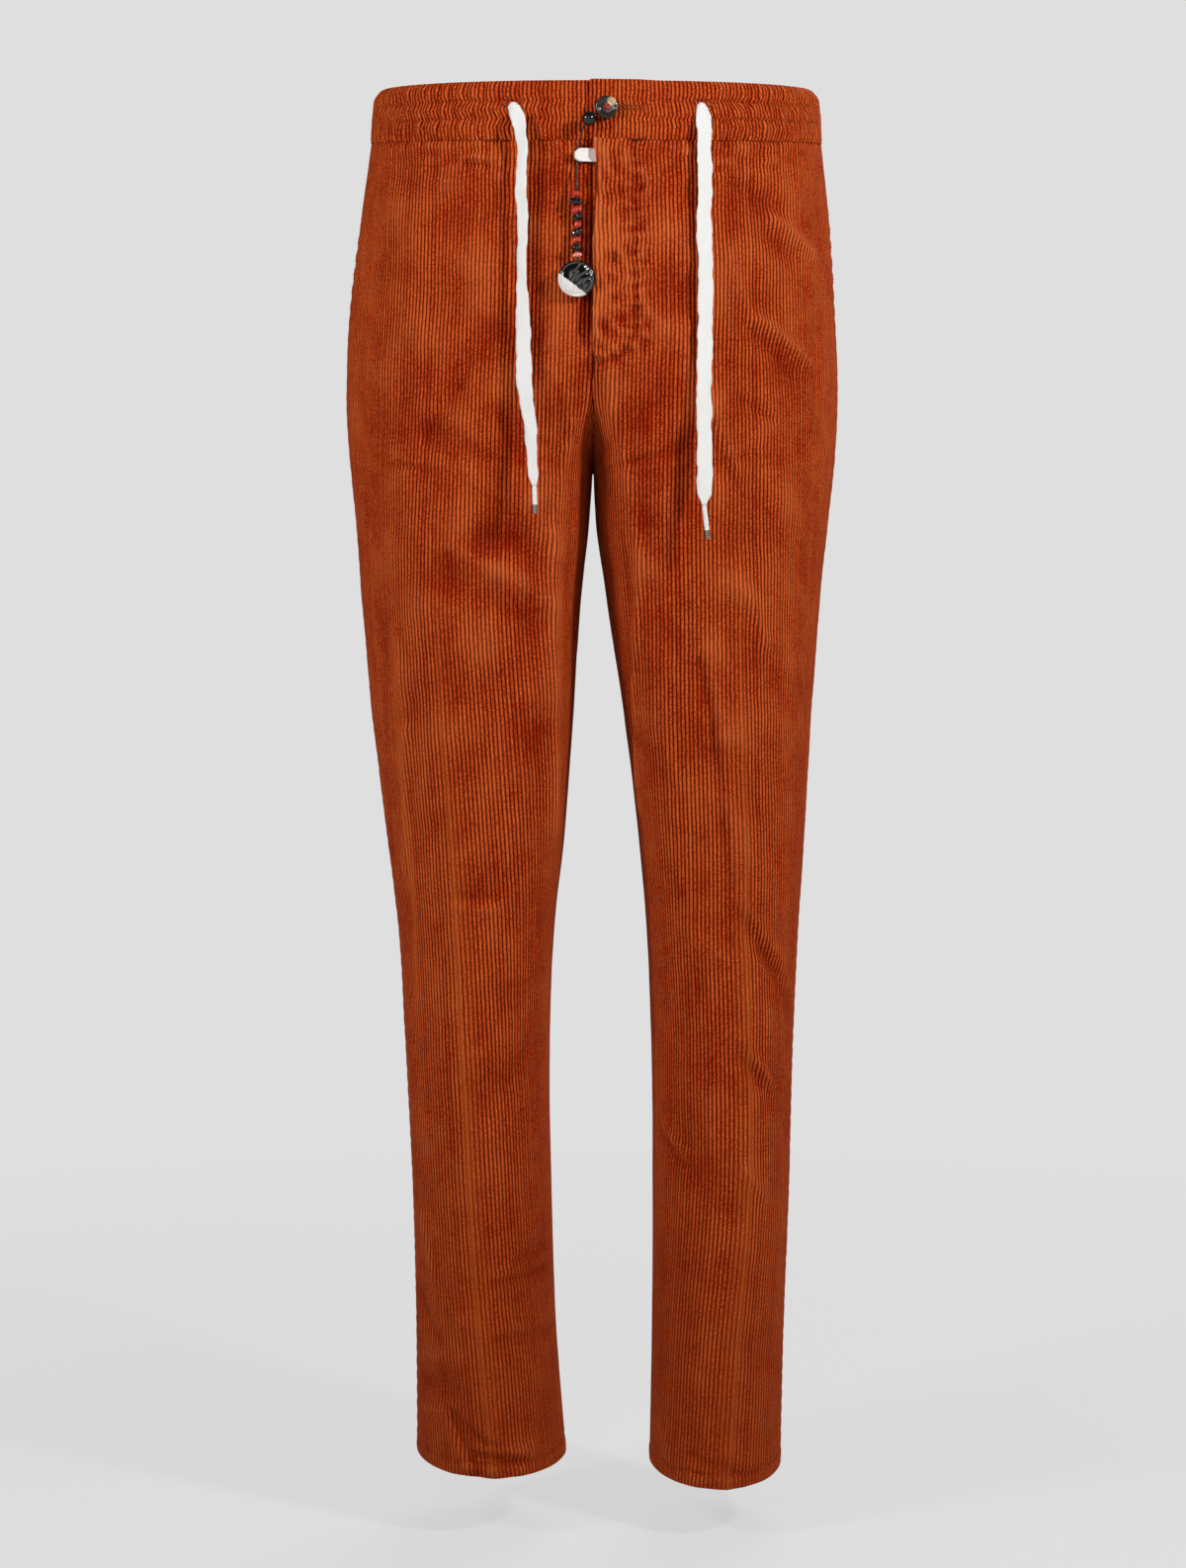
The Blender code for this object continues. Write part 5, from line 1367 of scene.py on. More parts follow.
@dataclass
class PocketFacing:
    """The strip of corduroy that shows in a slant pocket's mouth."""

    side: Side
    turned: float = 0.9  # the share of the mouth after which the strip goes under the front

    def shell(self) -> ClothShell:
        """The strip as a shell of corduroy; across is measured from the side seam, inwards."""
        half = HALF[self.side]

        def edges(z: float) -> tuple[float, float]:
            length = half.arc(Face.FRONT, z).length
            crease = half.arc(Face.FRONT, z).crease
            return (
                length - pocket_slant(z) * self.turned - POCKET_UNDER - crease,
                length + SEWN - crease,
            )

        def place(across: Array, z: float, lift: Array) -> tuple[Array, Array]:
            arc = half.arc(Face.FRONT, z)
            along = across + arc.crease
            inside = (arc.length - SEAM / 2 - along) / max(1e-4, pocket_slant(z) * self.turned)
            return half.points(Face.FRONT, along, z, lift - POCKET_LAP * np.clip(inside, 0, 1))

        heights = np.linspace(BAND_BOTTOM - SEAM, BAND_BOTTOM - POCKET_LENGTH + 0.020, 22)
        name = f"pocket_facing_{self.side.word}"
        return ClothShell(
            f"{name}_cloth",
            heights,
            edges,
            place,
            lambda z: CLOTH * 0.9,
            edge_roll=(0.0, 0.0010, 0.0008, 0.0),
            inner_step=5,
            replaced=[name],
        )


class FlyShield:
    """The underlap that the closed fly lies on."""

    def shell(self) -> ClothShell:
        """The strip as a shell of corduroy."""
        half = HALF[Side.LEFT]

        def place(across: Array, z: float, lift: Array) -> tuple[Array, Array]:
            return half.points(Face.FRONT, across, z, lift - 0.0002)

        return ClothShell(
            "fly_shield_cloth",
            np.linspace(BAND_BOTTOM - SEAM, FLY_BOTTOM + 0.006, 24),
            lambda z: (-SEWN, SHIELD_WIDTH),
            place,
            lambda z: CLOTH,
            edge_roll=(0.0004, 0.0, 0.0008, 0.0),
            inner_step=5,
            replaced=["fly_shield"],
        )


@dataclass
class Waistband:
    """The drawn-in waistband: corduroy folded over elastic, quilted by two rows of stitches.

    Between the rows the wales swing to one side and back, because each row was sewn with the
    elastic stretched.
    """

    rows: tuple[float, float] = (0.0061, -0.0060)
    gather: float = 0.0009
    gather_pitch: float = 0.0080
    stitch_dip: float = 0.0007
    puff: float = 0.0002  # how far the cloth between the rows stands out
    # How much the elastic gathers the band, by the distance along from the centre front.
    calm: float = 0.045

    def strength(self, side: Side, along: Array) -> Array:
        """How much the cloth is gathered there, 0 to 1: little beside the button."""
        if side is Side.LEFT:
            return 0.35 + 0.65 * smooth(along, self.calm, self.calm + 0.06)
        return 0.25 + 0.75 * smooth(along, 0.015, 0.050)

    def sway(self, side: Side, along: Array, z: float) -> Array:
        """How far the wales swing sideways there."""
        upper, lower = self.rows
        middle = (upper + lower) / 2
        if side is Side.RIGHT:
            levels = [BAND_BOTTOM, lower - 0.0060, lower, middle, upper, upper + 0.0040, BAND_TOP]
            lean = [0.0, 0.0011, -0.0012, 0.0014, -0.0012, 0.0003, 0.0]
        else:
            beside = [lower - 0.0055, lower - 0.0008, lower + 0.0014]
            levels = [BAND_BOTTOM, *beside, middle, upper, upper + 0.0040, BAND_TOP]
            lean = [-0.0006, 0.0012, -0.0008, 0.0026, 0.0010, -0.0022, -0.0003, 0.0]
        wander = 0.85 + 0.45 * crumple(along, z, 0.030, 2.0 + side.value)
        stray = 0.0004 * crumple(along, z * 0.7, 0.008, 6.0 + side.value)
        return (float(np.interp(z, levels, lean)) * wander + stray) * self.strength(side, along)

    def relief(self, side: Side, along: Array, z: float, to_side: Array) -> Array:
        """How far the gathers and rows of stitches move the cloth out there.

        Args:
            side: which half the band's length is on.
            along: distances along from the centre front.
            z: the height.
            to_side: distances to the side seam.

        Returns:
            The distances out.
        """
        strong = self.strength(side, along)
        calm = 0.12 + 0.88 * smooth(to_side, 0.008, 0.060)
        between = 1.0
        dip = np.zeros(len(along))
        for row in self.rows:
            near = float(bell(z - row, 0.0013))
            dip += self.stitch_dip * near * (0.35 + 0.65 * strong)
            between = min(between, 1 - 0.75 * near)
        upper, lower = self.rows
        puff = self.puff * math.sin(math.pi * float(np.clip((z - lower) / (upper - lower), 0, 1)))
        gathers = crumple(along, z * 0.35, self.gather_pitch, 1.0 + side.value)
        fade = float(smooth(BAND_TOP - z, 0.0, 0.006)) * 0.7 + 0.3
        return self.gather * gathers * strong * between * fade * calm + (puff - dip) * calm

    def heights(self) -> Array:
        """The band's rows, closest round its stitches and its edges."""
        top = BAND_TOP - np.array([0.0, 0.0006, 0.0014, 0.0024, 0.0038, 0.006, 0.0085, 0.011])
        upper, lower = self.rows
        around = np.array([0.0026, 0.0014, 0.0006, 0.0, -0.0006, -0.0014, -0.0026])
        bottom = BAND_BOTTOM + np.array([0.0105, 0.0085, 0.0062, 0.0042, 0.0026, 0.0014, 0.0006, 0.0])
        return np.concatenate([top, upper + around, [(upper + lower) / 2], lower + around, bottom])

    @staticmethod
    def past_centre(face: Face, side: Side, along: Array, z: float, lift: Any) -> tuple[Array, Array]:
        """Points and normals of a row on one half, or on the other where along is below 0."""
        own = HALF[side].points(face, np.maximum(along, 0), z, lift, folded=False)
        past = HALF[side.other].points(face, np.maximum(-along, 0), z, lift, folded=False)
        over = (along < 0)[:, None]
        return np.where(over, past[0], own[0]), np.where(over, past[1], own[1])

    def shell(self, name: str, roll: float, *shape: Callable[..., Any]) -> ClothShell:
        """A length of the band as a shell of corduroy, with its edges, place, relief and sway."""
        edges, place, relief, sway = shape
        return ClothShell(
            f"{name}_cloth",
            self.heights(),
            edges,
            place,
            lambda z: BAND_WALL,
            relief,
            sway,
            edge_roll=(roll, 0.0010, 0.0016, 0.0009),
            roll_reach=0.0017,
            column=BAND_COLUMN,
            replaced=[name],
        )

    def front(self, side: Side) -> ClothShell:
        """A front's length of the band, from its end at the fly to the side seam."""
        half = HALF[side]
        start = -OVERLAP if side is Side.LEFT else -UNDERLAP

        def edges(z: float) -> tuple[float, float]:
            return start, half.arc(Face.FRONT, z).length + SEWN

        def place(along: Array, z: float, lift: Array) -> tuple[Array, Array]:
            return self.past_centre(Face.FRONT, side, along, z, lift + band_lift(side, along) + band_bulge(z))

        return self.shell(
            f"waistband_{side.word}",
            0.0012,
            edges,
            place,
            lambda along, z: self.relief(side, along, z, half.arc(Face.FRONT, z).length - along),
            lambda along, z: self.sway(side, along, z),
        )

    def back(self) -> ClothShell:
        """The back's length of the band, from side seam to side seam in one piece."""
        left, right = HALF[Side.LEFT], HALF[Side.RIGHT]

        def edges(z: float) -> tuple[float, float]:
            return -SEWN - right.arc(Face.BACK, z).length, left.arc(Face.BACK, z).length + SEWN

        def place(along: Array, z: float, lift: Array) -> tuple[Array, Array]:
            return self.past_centre(Face.BACK, Side.LEFT, along, z, lift + band_bulge(z))

        def relief(along: Array, z: float) -> Array:
            out = np.abs(along)
            return self.relief(Side.LEFT, out + BACK_PATTERN, z, left.arc(Face.BACK, z).length - out)

        def sway(along: Array, z: float) -> Array:
            return self.sway(Side.LEFT, np.abs(along) + BACK_PATTERN, z)

        return self.shell("waistband_back", 0.0010, edges, place, relief, sway)

    def shells(self) -> list[ClothShell]:
        """The band's three lengths."""
        return [self.front(Side.RIGHT), self.front(Side.LEFT), self.back()]


# ---------------------------------------------------------------- stitches


@dataclass
class StitchRun:
    """Rows of stitches: one joined mesh of short rounded lengths of thread, lying on the cloth."""

    name: str
    length: float = 0.0026
    pitch: float = 0.0032
    radius: float = 0.00028

    RINGS = ((-0.5, 0.25), (-0.42, 0.8), (-0.2, 1.0), (0.2, 1.0), (0.42, 0.8), (0.5, 0.25))
    SIDES = 6
    BESIDE = 0.001  # how far to each side the cloth is felt for a stitch's direction

    def __post_init__(self) -> None:
        """Starts with no stitches."""
        self.points: list[Array] = []
        self.faces: list[list[int]] = []
        self.count = 0

    def stitch(self, middle: Array, along: Array, out: Array, length: float, radius: float) -> None:
        """Adds one stitch.

        Args:
            middle: its middle.
            along: its direction.
            out: the cloth's outward direction there; its ends dip into the cloth.
            length: from end to end.
            radius: the thread's.
        """
        along = unit(along)
        wide = unit(np.cross(out, along))
        out = np.cross(along, wide)
        turns = full_turn(self.SIDES)
        circle = np.cos(turns)[:, None] * wide + np.sin(turns)[:, None] * out
        for place, size in self.RINGS:
            centre = middle + along * place * length - out * radius * 1.6 * (2 * place) ** 4
            self.points.append(centre + circle * radius * size)
        self.faces += ring_faces(len(self.RINGS), self.SIDES, self.count)
        self.count += len(self.RINGS) * self.SIDES

    def row(self, places: Array, normals: Array, sunk: float = 0.0001) -> None:
        """Adds a row of stitches along close-set points on the cloth."""
        passed = passed_along(places)
        count = int(passed[-1] / self.pitch)
        at = (np.arange(count) + 0.5) * passed[-1] / max(count, 1)
        for t in at:
            before, after = row_at(t - self.BESIDE, passed, places), row_at(t + self.BESIDE, passed, places)
            out = row_at(t, passed, normals)
            self.stitch((before + after) / 2 - out * sunk, after - before, out, self.length, self.radius)

    def build(self, material: bpy.types.Material) -> bpy.types.Object:
        """Makes the joined mesh."""
        made = piece_from(self.name, np.vstack(self.points), self.faces, [material])
        turn_out(made.data)
        return made


class Stitching:
    """All the sewing that shows: fly, waistband, pocket mouths, hems, bar tacks and buttonhole."""

    def __init__(self, panels: dict[tuple[Side, Face], LegPanel], band: Waistband) -> None:
        """Keeps the cloth that the rows lie on."""
        self.panels = panels
        self.band = band

    def on_panel(self, panel: LegPanel, along: Array, heights: Array, off: float) -> tuple[Array, Array]:
        """Points on a panel's dressed face, one for each place and height."""
        rows = [
            panel.surface(np.array([a - panel.half.arc(panel.face, z).crease]), float(z), np.array([off]))
            for a, z in zip(along, heights)
        ]
        return np.vstack([r[0] for r in rows]), np.vstack([r[1] for r in rows])

    def bar(self, made: StitchRun, panel: LegPanel, ends: Sequence[float], z: float, *size: float) -> None:
        """Adds one level stitch of a bar tack: how far off the cloth, its length and its radius."""
        off, length, radius = size
        places, normals = self.on_panel(panel, ends, [z, z], off)
        made.stitch(places.mean(0), places[1] - places[0], normals[0], length, radius)

    def fly(self) -> StitchRun:
        """The fly's curved row, and a bar tack where it meets the seam."""
        made = StitchRun("fly_stitches")
        path = FlyStitch().path()
        steps = passed_along(path)
        at = np.linspace(0.002, steps[-1], 220)
        along, heights = np.interp(at, steps, path[:, 0]), np.interp(at, steps, path[:, 1])
        panel = self.panels[(Side.LEFT, Face.FRONT)]
        places, normals = self.on_panel(panel, along, heights, 0.0)
        made.row(places, normals)
        for k in range(9):
            self.bar(made, panel, (0.0012, 0.0062), -0.1690 - 0.0006 * k, 0.0002, 0.0050, 0.00026)
        return made

    def hems(self) -> StitchRun:
        """The row round each hem."""
        made = StitchRun("hem_stitches")
        for panel in self.panels.values():
            z = panel.half.hem + HEM_TURN
            start, end = panel.edges(z)
            across = np.linspace(start + 0.001, end - 0.001, 300)
            places, normals = panel.surface(across, z, np.full(300, 0.0))
            made.row(places, normals)
        return made

    def waist(self) -> StitchRun:
        """The two rows that quilt the waistband."""
        made = StitchRun("waistband_stitches")
        for shell in self.band.shells():
            for z in self.band.rows:
                start, end = shell.edges(z)
                gap = 0.028 if "left" in shell.name else 0.001
                across = np.linspace(start + gap, end - 0.001, 420)
                places, normals = shell.dressed(across, z, -0.0001)
                made.row(places, normals)
        return made

    def pockets(self) -> StitchRun:
        """A row beside each pocket's mouth, and the bar tack at its upper end."""
        made = StitchRun("pocket_stitches")
        for side in Side:
            panel = self.panels[(side, Face.FRONT)]
            heights = np.linspace(BAND_BOTTOM - 0.002, BAND_BOTTOM - POCKET_LENGTH + 0.004, 160)
            along = np.array([panel.span(z)[1] - POCKET_STITCH_IN for z in heights])
            made.row(*self.on_panel(panel, along, heights, 0.0))
            for k in range(12):
                z = -0.0400 - 0.0011 * k
                edge = panel.span(z)[1]
                self.bar(made, panel, (edge - 0.0052, edge - 0.0006), z, 0.0003, 0.0048, 0.0003)
        return made

    def buttonhole(self) -> StitchRun:
        """The buttonhole's close stitches, which run out past the button to its left."""
        made = StitchRun("buttonhole_stitches")
        shell = self.band.front(Side.LEFT)
        first, last, gap = 0.0150, 0.0345, 0.0011
        for x in np.arange(first, last, 0.00062):
            for sign in (-1, 1):
                z = BUTTON_Z + sign * gap
                places, normals = shell.dressed(x, z, 0.0001)
                made.stitch(places[0], np.array([0.12, 0.0, 1.0]), normals[0], 0.0019, 0.00030)
        for k in range(7):
            z = BUTTON_Z + (k - 3) * 0.0005
            places, normals = shell.dressed(last, z, 0.0002)
            made.stitch(places[0], np.array([1.0, 0.0, 0.0]), normals[0], 0.0022, 0.00030)
        return made

    def build(self, finishes: Finishes) -> None:
        """Makes every run of stitches."""
        for run in (self.fly(), self.hems(), self.waist(), self.pockets(), self.buttonhole()):
            made = run.build(finishes.thread)
            LOG.info("%s: %d points", made.name, len(made.data.vertices))


# ---------------------------------------------------------------- drawstring


@dataclass(frozen=True)
class TapeStop:
    """A place on the drawstring's route.

    Across and height of its middle, how far its nearest edge stands off the cloth, and how far its
    flat side turns from lying on the cloth, in degrees.
    """

    x: float
    z: float
    lift: float
    turn: float


# The stops of each free end, from its eyelet to its tip.
DRAWSTRING_STOPS = {
    Side.RIGHT: [
        (-0.0545, 0.0047, -0.0026, 0),
        (-0.0545, 0.0044, -0.0008, 0),
        (-0.0542, 0.0028, 0.0006, 0),
        (-0.0530, -0.0010, 0.0005, 4),
        (-0.0505, -0.0080, 0.0003, 16),
        (-0.0483, -0.0170, 0.0002, 36),
        (-0.0472, -0.0290, 0.0000, 46),
        (-0.0482, -0.0520, 0.0000, 40),
        (-0.0468, -0.0800, 0.0000, 44),
        (-0.0478, -0.1090, 0.0000, 50),
        (-0.0472, -0.1300, 0.0000, 36),
        (-0.0468, -0.1600, 0.0002, 8),
        (-0.0462, -0.1900, 0.0006, 12),
        (-0.0430, -0.2160, 0.0025, 34),
        (-0.0424, -0.2380, 0.0050, 48),
        (-0.0420, -0.2560, 0.0080, 40),
    ],
    Side.LEFT: [
        (0.0747, 0.0047, -0.0026, 0),
        (0.0747, 0.0044, -0.0008, 0),
        (0.0747, 0.0028, 0.0006, 0),
        (0.0748, -0.0010, 0.0005, -2),
        (0.0750, -0.0080, 0.0003, -6),
        (0.0745, -0.0280, 0.0002, 10),
        (0.0751, -0.0520, 0.0000, 16),
        (0.0745, -0.0760, 0.0000, 2),
        (0.0754, -0.1100, 0.0000, -6),
        (0.0752, -0.1500, 0.0000, -8),
        (0.0744, -0.1850, 0.0006, -4),
        (0.0746, -0.2160, 0.0030, -10),
        (0.0756, -0.2450, 0.0060, -4),
        (0.0760, -0.2700, 0.0090, -6),
    ],
}


def smooth_route(points: Any, count: int, crowd: float = 1.0) -> Array:
    """That many points on a smooth curve through a route's own points.

    Args:
        points: the route's points, a row each.
        count: how many points to return.
        crowd: 1 for even spacing and more to bring them closer together towards the start.

    Returns:
        The points, a row each.
    """
    points = np.asarray(points, float)
    along = passed_along(points[:, :3])
    at = along[-1] * np.linspace(0, 1, count) ** crowd
    return np.column_stack([eased(along, points[:, k], at) for k in range(points.shape[1])])


def tape_piece(
    name: str, points: Sequence[Array], passed: Array, over: Sequence[float], finish: bpy.types.Material
) -> bpy.types.Object:
    """A flat tape as a closed mesh.

    Args:
        name: the piece's name.
        points: for each place round its section, the points down its length.
        passed: how far down its length they are.
        over: for each place round its section, how far across the weave it is.
        finish: its material.

    Returns:
        The piece.
    """
    grid = np.stack(points, 1).reshape(-1, 3)
    made = piece_from(name, grid, ring_faces(len(passed), len(points)), [finish])
    set_attribute(made.data, "down", np.repeat(passed, len(points)))
    set_attribute(made.data, "across", np.tile(over, len(passed)))
    turn_out(made.data)
    return made


@dataclass
class Drawstring:
    """A free end of the flat cotton drawstring, with its tip."""

    side: Side
    aglet_length: float
    lean: tuple[float, float, float]
    width: float = 0.0105
    thickness: float = 0.0012
    taper: float = 0.009
    aglet_radius: float = 0.0017
    gap: float = 0.00016  # from the tape's end to its tip
    steel: float = 0.0062  # the bright rolled end of the tip
    seed: float = 0.0
    ripple: float = 0.10  # how far it turns to and fro down its length, in radians
    curl: float = 0.0006  # how far its edges curl
    gathered: float = 0.00035  # depth of the pleats at its tip
    stray: float = 0.0003  # how far its edges stray from straight
    twisted: float = 0.30  # the share of a stop's turn that twists the tape; the rest folds it narrower
    sink: float = 0.0030  # how far its edges bend in where it comes out of its eyelet
    off_cloth: float = 0.0050  # how much further out than the solid, clear of the pile's crowns

    def stop_row(self, stop: TapeStop) -> tuple[float, ...]:
        """A stop as its middle's place, the angle of its width from across, and its width's share."""
        half = HALF[self.side]
        arc = half.arc(Face.FRONT, stop.z)
        along = np.array([np.interp(abs(stop.x), np.abs(arc.x), arc.along)])
        heading = arc.heading(along)[0] * self.side.value
        lean = math.atan2(heading[1], heading[0]) + self.side.value * math.radians(stop.turn * self.twisted)
        edge = self.width / 2 * abs(math.sin(math.radians(stop.turn * self.twisted)))
        clear = self.off_cloth * float(smooth(-stop.z, -0.003, 0.020))
        off = LAY + self.thickness / 2 + edge + stop.lift + clear
        point, _ = half.points(Face.FRONT, along, stop.z, band_bulge(stop.z) + off)
        return (*point[0], lean, math.cos(math.radians(stop.turn)))

    def route(self) -> tuple[Array, Array, Array]:
        """The tape's middle line, the angle of its width and its width's share, close together."""
        rows = smooth_route([self.stop_row(TapeStop(*row)) for row in DRAWSTRING_STOPS[self.side]], 300, 1.3)
        return rows[:, :3], rows[:, 3], rows[:, 4]

    def build(self, finishes: Finishes) -> None:
        centres, angles, shares = self.route()
        passed = passed_along(centres)
        to_end = passed[-1] - passed

        def wave(length: float, shift: int) -> Array:
            return ripple(passed * 2 * math.pi / length, self.seed + shift)

        # The tape ripples and its edges curl a little.
        angles = angles + self.ripple * wave(0.045, 0) * smooth(passed, 0.01, 0.04)
        narrow = 2 * self.aglet_radius
        widths = narrow + (self.width * shares - narrow) * smooth(to_end, 0, self.taper)
        widths *= 1 + 0.05 * np.tanh(2.5 * wave(0.040, 1))
        widths *= 0.78 + 0.22 * smooth(passed, 0.003, 0.014)
        heading = unit(np.gradient(centres, axis=0))
        across = np.column_stack([np.cos(angles), np.sin(angles), np.zeros(len(angles))])
        across -= heading * np.sum(across * heading, axis=1, keepdims=True)
        across = unit(across)
        thin = np.cross(heading, across)
        count, half = 9, self.thickness / 2
        share = np.linspace(-1, 1, count)
        # Round the section: the two faces first, from edge to edge, then back.
        loop = [(u, sign * half * (1 - 0.35 * u**8)) for sign in (1, -1) for u in share[::sign]]
        curl = self.curl * wave(0.060, 3)
        gather = self.gathered * (1 - smooth(to_end, 0.004, 0.020))
        at_top = bell(passed, 0.0065)
        stray = self.stray * np.tanh(3 * wave(0.021, 5))
        stray *= smooth(to_end, 0.0, 0.02)
        points = []
        for u, v in loop:
            bow = curl * (u * u - 0.3) + gather * math.cos(3 * math.pi * u) - self.sink * u * u * at_top
            aside = u * widths / 2 + stray * abs(u) ** 3
            points.append(centres + across * aside[:, None] + thin * (v + bow)[:, None])
        word = self.side.word
        over = [(u + 1) * self.width / 2 for u, _ in loop]
        tape = tape_piece(f"drawstring_{word}_tape", points, passed, over, finishes.tape)
        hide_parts(f"drawstring_{word}")
        tip = self.tip(Vector(centres[-1]), finishes)
        LOG.info("%s: %.0f mm long", tape.name, passed[-1] * 1000)

    def tip(self, end: Vector, finishes: Finishes) -> bpy.types.Object:
        """The tip: the tape's end wound with thread, then a rolled steel end."""
        lean = Vector(self.lean).normalized()
        length, r = self.aglet_length, self.aglet_radius
        sides, profile = 16, []
        wound = np.arange(0.0, length - self.steel, 0.00055)
        for k, t in enumerate(wound):
            profile.append((t, r * (0.94 + 0.05 * (k % 2)) * (0.7 + 0.3 * float(smooth(t, -0.001, 0.0016)))))
        start = length - self.steel
        for t in np.linspace(0, 1, 22):
            crimp = 0.03 * math.cos(2 * math.pi * t * self.steel / CRIMP)
            end_round = math.sqrt(max(0.04, 1 - max(0.0, (t - 0.90) / 0.10) ** 2))
            profile.append((start + t * self.steel, r * (1.0 + crimp) * end_round))
        frame_of = (-lean).to_track_quat("Z", "Y").to_matrix()
        begin = end + lean * self.gap
        turns = full_turn(sides)
        points, down = [], []
        for t, radius in profile:
            for a in turns:
                points.append(begin + frame_of @ Vector((radius * math.cos(a), radius * math.sin(a), -t)))
                down.append(t)
        faces = ring_faces(len(profile), sides)
        word = self.side.word
        made = piece_from(f"aglet_{word}_wound", np.array(points), faces, [finishes.tape, finishes.tip])
        set_attribute(made.data, "down", np.array(down))
        set_attribute(made.data, "across", np.zeros(len(points)))
        slots = np.array([1 if min(f) >= len(wound) * sides else 0 for f in faces], np.int32)
        made.data.polygons.foreach_set("material_index", slots)
        turn_out(made.data)
        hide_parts(f"aglet_{word}")
        return made


# ---------------------------------------------------------------- button and charm

BUTTON_X, BUTTON_Z = 0.0094, 0.0002
BUTTON_RADIUS = 0.0077
SHANK_LENGTH = 0.0019
CORD_OFF = FLY_LAP + 0.0013  # how far off the cloth the charm's cord goes round the shank
BUTTON_THICKNESS = 0.0026
BEAD_X, BEAD_Z, BEAD_RADIUS = -0.0027, -0.0080, 0.0049


def lathe(profile: Sequence[tuple[float, float]], segments: int) -> tuple[Array, list[list[int]], Array]:
    """A turned shape about Z.

    Args:
        profile: radii and heights, from the bottom to the top; a radius of 0 is a point.
        segments: how many sides.

    Returns:
        Its points, its faces and each point's angle.
    """
    points, angles, rings, faces = [], [], [], []
    turns = full_turn(segments)
    for radius, height in profile:
        if radius == 0:
            rings.append([len(points)])
            points.append((0.0, 0.0, height))
            angles.append(0.0)
        else:
            rings.append(list(range(len(points), len(points) + segments)))
            points += [(radius * math.cos(a), radius * math.sin(a), height) for a in turns]
            angles += list(turns)
    pairs = list(zip(rings, rings[1:])) + ([(rings[-1], rings[0])] if profile[0][0] > 0 else [])
    for low, high in pairs:
        for k in range(segments):
            n = (k + 1) % segments
            if len(low) == 1:
                faces.append([low[0], high[n], high[k]])
            elif len(high) == 1:
                faces.append([low[k], low[n], high[0]])
            else:
                faces.append([low[k], low[n], high[n], high[k]])
    return np.array(points), faces, np.array(angles)


def tube(name: str, route: Array, radius: float, material: bpy.types.Material) -> bpy.types.Object:
    """A round cord along a route, as a curve with closed ends."""
    curve = bpy.data.curves.new(name, "CURVE")
    curve.dimensions = "3D"
    line = curve.splines.new("POLY")
    line.points.add(len(route) - 1)
    for point, where in zip(line.points, route):
        point.co = (*where, 1.0)
    curve.bevel_depth = radius
    curve.bevel_resolution = 4
    curve.use_fill_caps = True
    curve.materials.append(material)
    made = new_object(name, curve)
    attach(made, "root")
    return made


def ring_tube(name: str, route: Array, radius: float, material: bpy.types.Material) -> bpy.types.Object:
    """A round cord that closes on itself, as a mesh."""
    sides, count = 10, len(route)
    heading = unit(np.roll(route, -1, 0) - np.roll(route, 1, 0))
    out = route - route.mean(0)
    wide = unit(np.cross(heading, out))
    out = np.cross(wide, heading)
    turns = full_turn(sides)[None, :, None]
    points = route[:, None] + radius * (np.cos(turns) * wide[:, None] + np.sin(turns) * out[:, None])
    faces = []
    for r in range(count):
        n = (r + 1) % count
        for k in range(sides):
            m = (k + 1) % sides
            faces.append([r * sides + k, r * sides + m, n * sides + m, n * sides + k])
    made = piece_from(name, points.reshape(-1, 3), faces, [material])
    turn_out(made.data)
    return made


